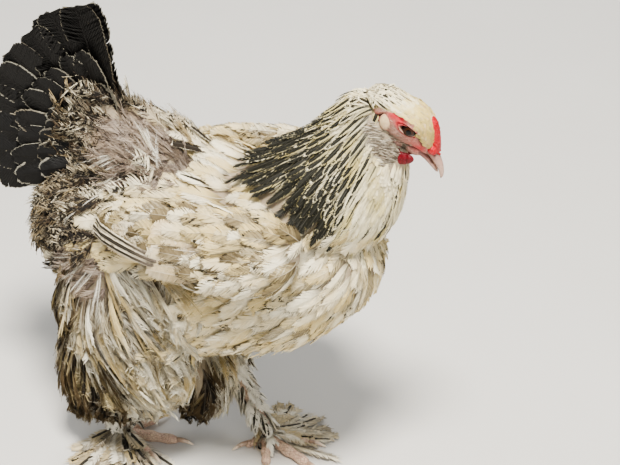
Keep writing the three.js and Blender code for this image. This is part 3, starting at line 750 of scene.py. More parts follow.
def feather_material(name, coat, lace=0.3, fleck_and_shadow=0.0, rough=0.72, streaked=0.5, ragged=0.16, broken=False,
                     solid=0.0, shadow_blotches=0.2):
    """Keratin vanes: matt, because the barbs scatter the light, with a glossier shaft and a dusty, paler
    edge."""
    made, tree, shader = material(name, Roughness=rough, IOR=1.54, Specular_IOR_Level=0.3)
    vane = add(tree, "UVMap", {"uv_map": "Vane"}).outputs[0]
    split = add(tree, "SeparateXYZ", None, Vector=vane)
    across = maths(tree, "ABSOLUTE", maths(tree, "MULTIPLY_ADD", split.outputs[0], 2.0, -1.0))
    along = split.outputs[1]
    mark = add(tree, "Attribute", {"attribute_name": "Mark"})
    parts = add(tree, "SeparateColor", None, Color=mark.outputs["Color"])
    tone, black, chance = parts.outputs[0], parts.outputs[1], parts.outputs[2]
    warmth = mark.outputs["Alpha"]
    streak = add(tree, "Attribute", {"attribute_name": "Streak"}).outputs["Fac"]
    mottle = noise(tree, 38.0, 4.0)
    fine = noise(tree, 420.0, 3.0)
    base = blended(tree, ranged(tree, maths(tree, "MULTIPLY_ADD", mottle, 1.2,
                                            maths(tree, "SUBTRACT", warmth, 0.6)), 0.1, 0.9),
                   hue(coat + "_pale"), hue(coat + "_warm"))
    # How far a vane turns to its shade colour: its feather's tone, its barbs' streaks and a fine noise.
    dim = maths(tree, "MULTIPLY_ADD", maths(tree, "SUBTRACT", streak, 0.5), streaked, tone)
    dim = maths(tree, "MULTIPLY_ADD", fine, 0.3, maths(tree, "SUBTRACT", dim, 0.15))
    # Broad blotches of painted shadow, strongest in the thigh fluff, darken the vane towards its shade
    # colour.
    clouds = noise(tree, 24.0, 3.0)
    dim = maths(tree, "MULTIPLY_ADD", maths(tree, "SUBTRACT", clouds, 0.5), 2.0 * shadow_blotches, dim)
    base = blended(tree, ranged(tree, dim, 0.0, 1.0), base, hue(coat + "_shade"))
    # The pattern: an inked middle with a pale lace round it. The ink's share of the width is the feather's
    # own.
    tip = ranged(tree, along, 1.0 - lace * 0.3, 1.0)
    edge = maths(tree, "MAXIMUM", across, tip)
    wobble = maths(tree, "MULTIPLY_ADD", streak, ragged, maths(tree, "MULTIPLY_ADD", fine, ragged, -ragged))
    width = maths(tree, "MULTIPLY", black, 1.0 - lace * 0.6)
    if solid:
        end = maths(tree, "MULTIPLY", ranged(tree, along, 0.55, 0.9),
                    ranged(tree, black, 0.25, 0.5, 0.0, solid))
        width = maths(tree, "ADD", width, end)
    inner = ranged(tree, maths(tree, "SUBTRACT", maths(tree, "ADD", edge, wobble), width), 0.0, lace * 0.4,
                   1.0, 0.0)
    inked = maths(tree, "MULTIPLY", inner, ranged(tree, black, 0.06, 0.2))
    if broken:
        bars = noise(tree, 230.0, 4.0, roughness=0.7, distortion=0.6)
        inked = maths(tree, "MULTIPLY", inked, ranged(tree, bars, 0.4, 0.5))
    if fleck_and_shadow:
        dash = maths(tree, "MULTIPLY", ranged(tree, streak, 0.72, 0.8),
                     ranged(tree, noise(tree, 190.0, 2.0), 0.5, 0.58))
        speck = maths(tree, "MULTIPLY", dash, maths(tree, "MULTIPLY", ranged(tree, along, 0.5, 0.7), fleck_and_shadow))
        inked = maths(tree, "MAXIMUM", inked,
                      maths(tree, "MULTIPLY", speck, ranged(tree, chance, 0.3, 0.45)))
        # Painted shadow: thin dark slits near the edge of a vane, for the shade between overlapping
        # feathers.
        slit = maths(tree, "MULTIPLY", ranged(tree, across, 0.78, 0.9),
                     ranged(tree, noise(tree, 110.0, 3.0), 0.5, 0.55))
        slit = maths(tree, "MULTIPLY", slit,
                     maths(tree, "MULTIPLY", ranged(tree, chance, 0.38, 0.46), 0.9 * fleck_and_shadow))
        inked = maths(tree, "MAXIMUM", inked, slit)
    base = blended(tree, inked, base, hue(coat + "_ink"))
    # The downy foot of a vane: partly the grey of real down, partly painted shade where it shows between
    # feathers.
    down = ranged(tree, along, 0.5, 0.12)
    base = blended(tree, maths(tree, "MULTIPLY", down, 0.75), base, hue(coat + "_root"))
    quill = ranged(tree, across, 0.06, 0.0)
    base = blended(tree, maths(tree, "MULTIPLY", quill,
                               maths(tree, "SUBTRACT", 0.45, maths(tree, "MULTIPLY", inked, 0.35))), base,
                   hue(coat + "_shaft"))
    # Barbs, drawn about a millimetre apart, coarser than real ones, so that they show.
    slant = maths(tree, "SUBTRACT", along, maths(tree, "MULTIPLY", across, 0.2))
    ridge = maths(tree, "SINE", maths(tree, "MULTIPLY", slant, BARB_WAVES))
    base = blended(tree, maths(tree, "MULTIPLY_ADD", ridge, 0.05, 0.05), base, hue(coat + "_shade"))
    wire(tree, shader, base, maths(tree, "MULTIPLY_ADD", ridge, 0.5, fine), 0.35, 0.0005)
    return made


FINISHES = {}


def finish_of(name):
    """The material of a name, made the first time that it is asked for."""
    if name not in FINISHES:
        FINISHES[name] = MAKERS[name]()
    return FINISHES[name]


def skin_material():
    """Bare bird skin under the coat: pink-grey and matt, with the small bumps of feather pits."""
    made, tree, shader = material("down_covered_skin", Roughness=0.7, IOR=1.4, Subsurface_Weight=0.1,
                                  Subsurface_Scale=0.002)
    red = noise(tree, 260.0, 4.0)
    base = blended(tree, noise(tree, 60.0), hue("skin_dull"), hue("skin_pale"))
    pits = cells(tree, 900.0)
    wire(tree, shader, base, maths(tree, "SUBTRACT", red, pits), 0.5, 0.0004)
    return made


def comb_material(name, part):
    """Comb and wattles: blood-red living skin, moist and granular, with light passing into it."""
    made, tree, shader = material(name, Roughness=0.42, IOR=1.4, Subsurface_Weight=0.15,
                                  Subsurface_Radius=(0.6, 0.15, 0.1), Subsurface_Scale=0.002,
                                  Coat_Weight=0.15, Coat_Roughness=0.4)
    grain = cells(tree, 700.0)
    tint = blended(tree, noise(tree, 300.0, 4.0), hue(part + "_deep"), hue(part + "_bright"))
    # The tops of the grains are painted paler, partly as highlight.
    tint = blended(tree, ranged(tree, grain, 0.0, 0.5, 0.4, 0.0), tint, hue(part + "_grain"))
    tint = blended(tree, ranged(tree, noise(tree, 800.0, 3.0), 0.52, 0.66, 0.0, 0.6), tint,
                   hue(part + "_deep"))
    wire(tree, shader, tint, maths(tree, "MULTIPLY", grain, -1.0), 0.7, 0.0008)
    return made


def face_material():
    """The bare face: thin, wrinkled skin, red where blood shows, dusty pink elsewhere, with painted shade in
    its creases."""
    made, tree, shader = material("bare_skin", Roughness=0.55, IOR=1.4, Subsurface_Weight=0.12,
                                  Subsurface_Radius=(0.5, 0.2, 0.12), Subsurface_Scale=0.0015)
    flesh = add(tree, "SeparateColor", None,
                Color=add(tree, "Attribute", {"attribute_name": "Flesh"}).outputs["Color"])
    red, pale, dark = flesh.outputs[0], flesh.outputs[1], flesh.outputs[2]
    rough = noise(tree, 420.0, 5.0, roughness=0.65)
    broad = noise(tree, 120.0, 3.0)
    pits = cells(tree, 1100.0)
    # The deeper wrinkles are darker and the raised ones paler, partly as painted shade of their relief.
    base = blended(tree, ranged(tree, rough, 0.35, 0.7), hue("face_deep"), hue("face_pale"))
    blood = maths(tree, "MULTIPLY", red,
                  ranged(tree, maths(tree, "ADD", rough, broad), 0.55, 1.1, 0.75, 1.0))
    base = blended(tree, blood, base, hue("face_blood"))
    base = blended(tree, pale, base, blended(tree, broad, hue("face_cream"), hue("face_buff")))
    # Painted shade in the creases, the eye's opening and the mouth line, from the third channel of Flesh.
    base = blended(tree, dark, base, hue("face_crease"))
    base = blended(tree, ranged(tree, pits, 0.0, 0.3, 0.3, 0.0), base, hue("face_scurf"))
    wire(tree, shader, base, maths(tree, "SUBTRACT", rough, pits), 0.6, 0.0006)
    return made


def toe_material():
    """Toe scutes: horny pink-tan plates with dusty, flaking edges and darker seams."""
    made, tree, shader = material("scaly_toe_skin", Roughness=0.62, IOR=1.5)
    place = add(tree, "TexCoord").outputs["Object"]
    seams = add(tree, "TexVoronoi", {"feature": "DISTANCE_TO_EDGE"}, Vector=place, Scale=SCUTES).outputs[0]
    plates = add(tree, "TexVoronoi", None, Vector=place, Scale=SCUTES)
    spread = add(tree, "SeparateColor", None, Color=plates.outputs["Color"])
    base = blended(tree, spread.outputs[0], hue("toe_pink"), hue("toe_tan"))
    base = blended(tree, noise(tree, 150.0, 4.0), base, hue("toe_dust"))
    base = blended(tree, ranged(tree, seams, 0.0, 0.09, 0.75, 0.0), base, hue("toe_seam"))
    wire(tree, shader, base, ranged(tree, seams, 0.0, 0.16), 0.8, 0.0009)
    return made


def horn_material(name, part):
    """Horn: smooth, a little see-through at its edges, with faint streaks along its growth."""
    made, tree, shader = material(name, Roughness=0.33, IOR=1.54, Subsurface_Weight=0.05,
                                  Subsurface_Scale=0.001)
    reach = add(tree, "Attribute", {"attribute_name": "Reach"}).outputs["Fac"]
    grain = noise(tree, 500.0, 4.0)
    tint = blended(tree, ranged(tree, maths(tree, "MULTIPLY_ADD", grain, 0.3,
                                            maths(tree, "SUBTRACT", reach, 0.15)), 0.1, 0.9),
                   hue(part + "_base"), hue(part + "_tip"))
    tint = blended(tree, ranged(tree, noise(tree, 180.0, 4.0), 0.5, 0.75), tint, hue(part + "_streak"))
    wire(tree, shader, tint, grain, 0.25, 0.0003)
    return made


def eye_material():
    """The eye: a wet cornea over a dark brown iris with fine rays, and a black pupil."""
    made, tree, shader = material("wet_eye", Roughness=0.12, IOR=1.38, Coat_Weight=0.3, Coat_Roughness=0.04,
                                  Specular_IOR_Level=0.3)
    ring = add(tree, "Attribute", {"attribute_name": "Reach"}).outputs["Fac"]
    rays = noise(tree, 1500.0, 3.0)
    iris = blended(tree, rays, hue("iris_light"), hue("iris_dark"))
    tint = blended(tree, ranged(tree, ring, 0.34, 0.41), hue("pupil"), iris)
    tint = blended(tree, ranged(tree, ring, 0.66, 0.78), tint, hue("iris_ring"))
    wire(tree, shader, tint)
    return made


MAKERS = {
    "bristle": lambda: feather_material("face_bristle", "bristle", lace=0.3, rough=0.7, streaked=0.6),
    "crown": lambda: feather_material("crown_feather", "crown", lace=0.4, rough=0.7, streaked=0.4),
    "skin": skin_material,
    "face": face_material,
    "comb": lambda: comb_material("blood_red_comb_skin", "comb"),
    # The wattles' reds are the comb's, painted darker as the shade they hang in.
    "wattle": lambda: comb_material("painted_shade_wattle_skin", "wattle"),
    "toe": toe_material,
    "eye": eye_material,
    "bill": lambda: horn_material("bill_horn", "bill"),
    "claw": lambda: horn_material("claw_horn", "claw"),
    "body_feather": lambda: feather_material("body_feather", "body", lace=0.22, fleck_and_shadow=1.0, streaked=0.7),
    "fluff": lambda: feather_material("thigh_fluff", "fluff", lace=0.25, fleck_and_shadow=0.2, rough=0.85,
                                      streaked=0.85, shadow_blotches=0.45),
    "hackle": lambda: feather_material("laced_hackle", "hackle", lace=0.3, rough=0.5, streaked=0.35,
                                       solid=0.16),
    "saddle": lambda: feather_material("mottled_saddle_feather", "saddle", lace=0.3, fleck_and_shadow=0.6,
                                       streaked=0.9, ragged=0.5, broken=True),
    "down": lambda: feather_material("rump_down", "down", lace=0.25, rough=0.9, streaked=0.8),
    "plume": lambda: feather_material("white_plume", "plume", lace=0.25, rough=0.6, streaked=0.35),
    "tail": lambda: feather_material("tail_feather", "tail", lace=0.07, rough=0.45, streaked=0.2,
                                     ragged=0.03),
    "quill": lambda: feather_material("wing_quill", "quill", lace=0.25, fleck_and_shadow=0.8, rough=0.6, streaked=0.3),
    "leg": lambda: feather_material("stiff_leg_feather", "leg", lace=0.3, rough=0.6, streaked=0.7),
}


# The skin and the surface that feathers grow on.

SKIN = {}
# How deep the coat lies on trunk and thighs.
COAT_DEPTH = 9


def trunk():
    """The trunk's flesh under its coat."""
    return loft(TRUNK, 44, 32, square=2.15, inset=COAT_DEPTH)


def cushion():
    """The cushion's flesh, in front of the tail."""
    return loft(CUSHION, 32, 20, inset=COAT_DEPTH)


def neck():
    """The neck's flesh under the hackle."""
    return loft(NECK_FLESH, 36, 24, inset=4)


def wing(side):
    """A folded wing's flesh under its coverts."""
    across = unit(np.array([0, 1, side * 0.35]))
    rows = [[x, side * y, z, *sizes] for x, y, z, *sizes in WING]
    return loft(rows, 28, 20, square=2.5, across=across, inset=2.5)


def tail_core(side):
    """One side of the flesh that the tail feathers grow from."""
    x, _, z = TAIL_ROOT
    return loft([[x + a, side * b, z + c, *sizes] for a, b, c, *sizes in TAIL_CORE], 24, 16, inset=4)


def thigh(foot):
    """The thigh and the tuft of feathers at its hock."""
    return [loft(foot["thigh"], 32, 24, inset=COAT_DEPTH), loft(foot["tuft"], 20, 14, inset=5)]


def flesh():
    """The flesh of trunk, neck, wings, tail and thighs, each drawn in by the depth of its coat."""
    forms = [trunk(), cushion(), neck()]
    for _, side in SIDES:
        forms += [wing(side), tail_core(side)]
    for foot in FEET:
        forms += thigh(foot)
    return forms


def shank_form(foot):
    """The shank, from the hock to the ball of the foot."""
    hx, hy, hz = foot["hock"]
    bx, by = foot["ball"]
    rows = [
        [hx, hy, hz + 8, 11, 11, 11],
        [hx, hy, hz - 12, 10, 10, 11],
        [(hx + bx) / 2, (hy + by) / 2, hz / 2, 8.5, 8.5, 9],
        [bx, by, 16, 9, 9, 9],
        [bx, by, 5, 8, 8, 8],
    ]
    return loft(rows, 24, 20, floor=2, inset=3)


def toe_ahead(foot, name):
    """The way that a toe points."""
    angle = math.radians(foot["heading"] + (0 if name == "middle" else foot[name]))
    return np.array([math.cos(angle), math.sin(angle), 0.0])


def toe_form(foot, name, length, thick):
    """A scaled toe: its joints swell, and its soles rest flat on the floor."""
    ahead = toe_ahead(foot, name)
    spine = [(-0.05, 3, 1.15), (0.2, 1, 1.06), (0.34, 0.4, 0.88), (0.5, 0, 1.04), (0.64, -0.4, 0.8),
             (0.8, -0.6, 0.92), (1, -1.6, 0.66)]
    rows = [[foot["ball"][0] + ahead[0] * length * share, foot["ball"][1] + ahead[1] * length * share,
             thick + high] + [thick * wide] * 3 for share, high, wide in spine]
    return loft(rows, 24, 48, np.cross([0, 0, 1], ahead), blunt=0.16, floor=0)


def head_forms():
    """The bare head: skull, brows and cheeks."""
    skull = [
        [-37, 0, -7, 12, 6, 16],
        [-20, 0, 0, 17, 10.5, 24],
        [-8, 0, 1.5, 18.5, 14.5, 25],
        [5, 0, 2, 18, 20, 24],
        [16, 0, 0, 15, 19.5, 19],
        [29, 0, -4, 9, 13, 9],
        [38, 0, -6, 6, 8, 5],
    ]
    forms = [
        ball((21, 0, -13), (12, 8.8, 6.5), 32),
        ball((2, 0, -20), (17, 14, 13), 32),
        loft(skull, 48, 36, inset=0.8),
    ]
    for _, side in SIDES:
        brow = [
            [-8, side * 15, 8, 3, 3, 3],
            [2, side * 15.5, 10, 4, 3.6, 4],
            [12, side * 14, 10, 4.2, 4, 3.4],
            [25, side * 9, 5, 3.4, 3.6, 2.6],
            [33, side * 6, 0, 2, 2, 1.6],
        ]
        forms.append(loft(brow, 20, 20, inset=0.5))
    return gathered(forms, HEAD_PLACE)


def in_head(places):
    """Points of the hen's frame in the head's: +X to the bill, +Y to her left, +Z to the crown."""
    return (np.asarray(places) - np.array(HEAD_AT)) @ np.array(HEAD_TURN)


def bump(value, centre, width):
    """A bell of height one."""
    return np.exp(-(((value - centre) / width) ** 2))


def blob(local, centre, radius):
    """A soft spot of value one on both sides of the head."""
    gap = np.stack([local[:, 0] - centre[0], np.abs(local[:, 1]) - centre[1], local[:, 2] - centre[2]], 1)
    return np.exp(-((gap**2).sum(1)) / radius**2)


def paint(thing, name, values):
    """Stores a number or a colour for each vertex of a piece."""
    values = np.asarray(values, np.float32)
    if values.ndim == 1:
        attribute = thing.data.attributes.new(name, "FLOAT", "POINT")
        attribute.data.foreach_set("value", values)
    else:
        attribute = thing.data.color_attributes.new(name, "FLOAT_COLOR", "POINT")
        attribute.data.foreach_set("color", values.ravel())


def mouth_line(x):
    """Height of the line of the mouth over the head's own axis, from the cheek to the bill's tip."""
    return np.interp(x, [12, 15, 20.4, 26.5, 40, 58], [-16, -14, -10.6, -8.6, -7.4, -14])


def eye_ring(local):
    """How far a point lies from the middle of the eye's slit: one at the lids' edge."""
    u = (local[:, 0] - EYE_SLIT[0]) * math.cos(LID_TILT) + (local[:, 2] - EYE_SLIT[1]) * math.sin(LID_TILT)
    v = (local[:, 2] - EYE_SLIT[1]) * math.cos(LID_TILT) - (local[:, 0] - EYE_SLIT[0]) * math.sin(LID_TILT)
    return (np.abs(u / 7.2) ** 1.7 + np.abs(v / np.where(v > 0, 2.9, 3.6)) ** 1.7) ** (1 / 1.7), v


# The eye's opening in the head's frame: its place, ahead and up, and its tilt.
EYE_SLIT = (7.3, 3.6)
LID_TILT = math.radians(13)


def push_out(thing, reach):
    """Moves the vertices of a piece of the head away from its middle plane."""
    places = points_of(thing.data)
    sides = np.sign(in_head(places)[:, 1])
    moved = places + (reach * sides)[:, None] * np.array(HEAD_TURN)[:, 1][None]
    thing.data.vertices.foreach_set("co", ((moved + np.array(ORIGIN)) * MM).astype(np.float32).ravel())
    thing.data.update()


def brow_crease(local):
    """The fold that runs from the front of the eye down to the nostril, where the face is sunk and painted
    with shade.
    """
    x, _, z = local.T
    return bump(z, np.interp(x, [12, 18, 27], [7.2, 3.4, -1.6]), 1.0) * smooth(12, 15, x) * smooth(29, 26, x)


def model_face(thing):
    """Raises the lids, sinks the eye's opening and draws the mouth and the creases of the face."""
    local = in_head(points_of(thing.data))
    x, y, z = local.T
    ring, v = eye_ring(local)
    flank = smooth(8, 11, np.abs(y))
    mouth = bump(z, mouth_line(x), 0.8) * smooth(14, 19, x) * smooth(3, 5, np.abs(y))
    ear_edge = bump(x, -18.5 + 0.25 * (z + 12), 1.6) * smooth(2, -6, z)
    lift = 1.5 * bump(ring, 1.22, 0.15) - 4.2 * smooth(1.06, 0.9, ring)
    lift += 1.3 * bump(ring, 1.72, 0.22) * smooth(1, 4, v) - 0.7 * bump(ring, 1.46, 0.08)
    lift += 0.7 * bump(ring, 1.66, 0.16) * smooth(0, -3, v)
    lift += 0.7 * bump(z, mouth_line(x) + 2.1, 1.1) * smooth(11, 15, x)
    lift += 0.6 * bump(z, mouth_line(x) - 2.1, 1.1) * smooth(11, 15, x)
    lift -= 1.6 * ear_edge + 1.4 * brow_crease(local)
    lift += 1.0 * blob(local, (3, 17, -10), 7)
    folds = np.sin(2.1 * z + 0.5 * x + 1.2 * np.sin(0.4 * x)) * 0.2 * blob(local, (2, 16, -12), 12)
    push_out(thing, lift * flank + folds - 1.5 * mouth)
    red = blob(local, (-4, 17, 7.5), 6) + 0.8 * blob(local, (-11, 17, 3), 5)
    red += 0.6 * bump(ring, 1.5, 0.3) * flank
    spots = (0.8, (27, 8, -5), 6), (0.9, (-9, 17, -20), 5), (0.5, (10, 13, 12), 5)
    red += sum(much * blob(local, place, radius) for much, place, radius in spots)
    red += 0.35 * blob(local, (18, 13, -5), 8) + 0.8 * blob(local, (-16, 15, -15), 8) + 0.06
    feathered = smooth(-0.5, 1.5, z - crown_line(x))
    pale = 0.9 * bump(ring, 1.13, 0.05) * smooth(-0.5, -2, v) * flank + 0.95 * feathered
    # Painted shade: dark in the eye's opening, along the mouth and in the folds of ear, brow and lids.
    dark = smooth(1.06, 0.98, ring) * flank + 0.95 * mouth + 0.9 * ear_edge
    dark += brow_crease(local) * flank
    # It is also darker under the eye and behind the ear lobe.
    dark += 0.65 * bump(ring, 1.44, 0.09) * flank + 0.35 * blob(local, (4, 15, -17), 10)
    dark += 0.45 * blob(local, (-17, 14, -16), 7)
    paint(thing, "Flesh", np.clip(np.stack([red * (1 - feathered), pale, dark, np.ones(len(x))], 1), 0, 1))


class HEN_OT_skin(bpy.types.Operator):
    """Makes the one skin that stands for the flesh of the solids"""

    bl_idname = "hen.skin"
    bl_label = "Skin"

    def execute(self, context):
        body = shaped("body_part", flesh(), "skin", 4.0, 6, 0.6)
        head = shaped("head_part", [head_forms()], "face", 0.7, 3, 0.6)
        model_face(head)
        legs = [f for foot in FEET for f in (shank_form(foot), *(toe_form(foot, *toe) for toe in TOES))]
        feet = shaped("feet_part", legs, "toe", 0.9, 2, 0.6)
        with bpy.context.temp_override(active_object=body, selected_editable_objects=[body, head, feet]):
            bpy.ops.object.join()
        body.name = body.data.name = "skin"
        unwrap(body)
        SKIN["all"] = Surface(body.data)
        replaced = ["torso", "neck", "head", "tail"]
        for side in ("right", "left"):
            replaced += [f"{part}_{side}" for part in ("wing", "thigh", "shank", "foot")]
        settle(body, *replaced, slot="plumage")
        return {"FINISHED"}


def unwrap(thing):
    """Unwraps a piece by its own shape into the map OFBake."""
    thing.data.uv_layers.new(name="OFBake")
    bpy.context.view_layer.objects.active = thing
    thing.select_set(True)
    bpy.ops.object.mode_set(mode="EDIT")
    bpy.ops.mesh.select_all(action="SELECT")
    bpy.ops.uv.smart_project(angle_limit=math.radians(66), island_margin=0.001)
    bpy.ops.object.mode_set(mode="OBJECT")
    thing.select_set(False)


# The lie of the coat.


def toward(places, rules, start):
    """A field of directions: start, turned towards the direction of each rule by its weight."""
    field = np.tile(np.asarray(start, float), (len(places), 1))
    for weight, direction in rules:
        w = np.asarray(weight)[:, None]
        field = field * (1 - w) + np.asarray(direction, float)[None] * w
    return field


def trunk_lie(p):
    """Backwards over the trunk, down the breast and round the rear, and up before the tail."""
    x, _, z = p.T
    back = smooth(300, 340, z)
    return toward(
        p,
        [
            (smooth(120, 165, x) * smooth(330, 290, z), (-0.45, 0, -1)),
            (smooth(200, 150, z), (-1, 0, -0.1)),
            (back, (-1, 0, 0.05)),
            (smooth(-150, -185, x) * smooth(300, 260, z), (-0.3, 0, -1)),
            (smooth(-60, -110, x) * smooth(300, 325, z), (-1, 0, 0.45)),
        ],
        (-1, 0, -0.38),
    )


def thigh_lie(p):
    """Down, swept forwards at the front of the right thigh, and swirled a little."""
    x, _, z = p.T
    swirl = np.sin(x / 16 + 1.0) * np.sin(z / 21 + 0.5)
    rules = [
        (smooth(-112, -88, x) * smooth(0, -30, x), (0.65, 0, -1)),
        (smooth(95, 60, z), (-0.15, 0, -1)),
    ]
    return toward(p, rules, (-0.1, 0, -1)) + swirl[:, None] * np.array([0.6, 0, 0])


SPINE_POINTS = curve(NECK_SPINE, np.linspace(0, 1, 80))
SPINE_AHEAD = unit(np.gradient(SPINE_POINTS, axis=0))


def straight(heading):
    """A lie that is the same everywhere."""
    return lambda p: np.tile(heading, (len(p), 1))


def along_neck(p):
    """The nearest sample of the neck's spine to each point."""
    gaps = ((p[:, None, :] - SPINE_POINTS[None]) ** 2).sum(2)
    return gaps.argmin(1)


def neck_lie(p):
    """Down the neck."""
    return SPINE_AHEAD[along_neck(p)] + np.array([0, 0, -0.25])


# The coat. Each operator lays the feathers of one region.


def in_order(made):
    """Points, edges and triangles of a bmesh in an order that its shape alone gives: its own order isn't
    the same in each run, and places drawn at random depend on it."""
    made.verts.ensure_lookup_table()
    points = np.array([v.co for v in made.verts])
    order = np.lexsort(np.round(points, 6).T)
    rank = np.empty(len(order), int)
    rank[order] = np.arange(len(order))
    faces = []
    for face in made.faces:
        corners = rank[[v.index for v in face.verts]].tolist()
        first = corners.index(min(corners))
        corners = corners[first:] + corners[:first]
        faces += [(corners[0], *pair) for pair in zip(corners[1:-1], corners[2:])]
    return points[order].tolist(), [], sorted(faces)


def on_form(forms, surface, spacing, rng, accept=None, near=8.0):
    """Roots on the skin, spread evenly over those parts of it that come from some forms."""
    made = gathered(forms, TO_ROW)
    held = bpy.data.meshes.new("form")
    held.from_pydata(*in_order(made))
    made.free()
    own = Surface(held)
    bpy.data.meshes.remove(held)
    places = own.scatter(rng, spacing, accept)
    spots, _, _ = surface.nearest(places)
    close = np.linalg.norm(spots - places, axis=1) < near
    return thinned(spots[close], spacing * CLOSEST)


def coat_piece(coat, name, finish, slot="plumage"):
    """Ends a piece of the coat."""
    settle(coat.piece(name, finish_of(finish)), slot=slot)


# Bare patches where the coat has parted and only down shows: middle and radius.
PARTINGS = [((-60, -30, 342), 36), ((-104, -92, 240), 24)]
# The middle of a hollow in the parted down, where the down is painted near black as shade.
SHADED_HOLLOW = (-54, -53, 321)


def parted(places, flow, length):
    """Whether feathers rooted at places would cover a parting of the coat."""
    covered = np.zeros(len(places), bool)
    ahead = unit(flow(places))
    for middle, radius in PARTINGS:
        for share in (0.0, 0.5, 0.95):
            gap = places + ahead * length * share - np.array(middle)
            covered |= np.linalg.norm(gap, axis=1) < radius
    return covered


def on_breast(p):
    """Whether places lie on the front of the trunk or where the neck runs into it."""
    x, _, z = p.T
    return (x > 60) & (z > 235) & (z < np.where(x > 125, 322, 345))


def under_hackle(p, reach=26):
    """Whether places lie so far under the hackle that body feathers rooted there would not show."""
    return (p[:, 0] - hackle_hem(p) > reach + 80 * smooth(-10, 22, p[:, 1])) & (p[:, 0] < 125)


def fluffy(p):
    """Whether places lie on the flanks under the wings, where the fluff of the thighs begins."""
    x, y, z = p.T
    return (np.abs(y) > 50) & (x > -135) & (x < 22 - 0.5 * (250 - z)) & (z < 262)


class HEN_OT_trunk_coat(bpy.types.Operator):
    """Lays the body feathers of back, breast and flanks"""

    bl_idname = "hen.trunk_coat"
    bl_label = "Body feathers"

    def execute(self, context):
        settings = context.scene.hen_coat
        rng = np.random.default_rng(11)
        surface = SKIN["all"]
        shapes = templates(rng, 10, SOFT, settings.barbs, sweep=0.45, fray=0.03, cleft=0.12, spread=0.03,
                           taper=0.5, wave=0.006, width=0.75)
        roots = on_form([trunk()], surface, settings.spacing, rng)
        skirt = surface.scatter(rng, settings.spacing, on_breast)
        roots = thinned(np.vstack([roots, skirt]), settings.spacing * CLOSEST)
        roots = roots[~parted(roots, trunk_lie, settings.length) & ~under_hackle(roots)]
        roots = roots[~fluffy(roots) & ~((roots[:, 0] < -88) & (roots[:, 2] > 246))]
        front = roots[:, 0] > -20
        for label, own in (("front", front), ("rear", ~front)):
            coat, rows = Plumage(), roots[own]
            count = len(rows)
            x, y, z = rows.T
            length = settings.length * rng.uniform(0.75, 1.25, count)
            half = settings.length * 0.21 * rng.uniform(0.75, 1.25, count)
            # Paler on the back, painted shade low under the belly, and a darker, inked rear.
            low = smooth(210, 150, z)
            rear = smooth(-72, -112, x) * smooth(228, 256, z)
            breast = smooth(118, 140, x)
            depth = settings.depth * rng.uniform(0.6, 1.25, count) * (1 - 0.45 * breast)
            depth *= 1 - 0.6 * smooth(300, 330, z) * smooth(20, 60, x) * smooth(0, 30, y)
            depth *= 1 - 0.65 * smooth(-16, 2, x - hackle_hem(rows)) * smooth(125, 110, x)
            marks = marked(rng, count, 0.12 - 0.12 * smooth(300, 325, z) + 0.28 * low + 0.4 * rear,
                           0.85 * rear, 0.5, (0.18, 0.1, 0.25))
            lay(coat, shapes, rng, surface, rows, trunk_lie, length, half, depth, marks, roll=0.18,
                waver=0.18)
            coat_piece(coat, f"coat_trunk_{label}", "body_feather")
        return {"FINISHED"}


class HEN_OT_cushion_coat(bpy.types.Operator):
    """Lays the mottled feathers of the cushion in front of and beside the tail"""

    bl_idname = "hen.cushion_coat"
    bl_label = "Cushion feathers"

    def execute(self, context):
        settings = context.scene.hen_coat
        rng = np.random.default_rng(12)
        surface = SKIN["all"]
        shapes = templates(rng, 10, ROUND, settings.barbs, sweep=0.5, fray=0.07, cleft=0.35, spread=0.1,
                           wave=0.015, width=0.5, bow=0.2)
        roots = on_form([cushion()], surface, settings.spacing * 0.9, rng)
        flank = on_form([trunk()], surface, settings.spacing * 0.9, rng,
                        lambda p: (p[:, 0] < -80) & (p[:, 2] > 236))
        cores = [tail_core(side) for _, side in SIDES]
        base = on_form(cores, surface, settings.spacing, rng,
                       lambda p: np.linalg.norm(p - TAIL_ROOT, axis=1) < 62)
        roots = np.vstack([roots, flank, base])
        roots = roots[~parted(roots, trunk_lie, 30)]
        coat, count = Plumage(), len(roots)
        dark = smooth(-50, -85, roots[:, 0])
        marks = marked(rng, count, 0.15 + 0.45 * dark, 0.2 + 0.7 * dark, 0.4, (0.28, 0.22, 0.3))
        lay(coat, shapes, rng, surface, roots, trunk_lie, 34 * rng.uniform(0.7, 1.3, count), 10.5,
            10 * rng.uniform(0.6, 1.4, count), marks, roll=0.5, waver=0.45)
        curled = templates(rng, 3, LANCE, 24, sweep=0.4, fray=0.04, cleft=0.2, spread=0.05, bow=0.6)
        starts = np.array(CURLS, float)
        marks = marked(rng, len(starts), 0.5, 0.75, 0.8, (0.1, 0.1, 0.2))
        lay(coat, curled, rng, surface, starts, straight([-0.5, -0.1, -1.0]), 42.0, 6.5, 15, marks,
            roll=0.3, waver=0.06, rise=1.4)
        coat_piece(coat, "coat_cushion", "saddle")
        return {"FINISHED"}


# Roots of the dark feathers that curl off the rear of the cushion.
CURLS = [(-176, -46, 294), (-180, -40, 282), (-178, -50, 270), (-172, -58, 258), (-178, 44, 286),
         (-176, 54, 266)]


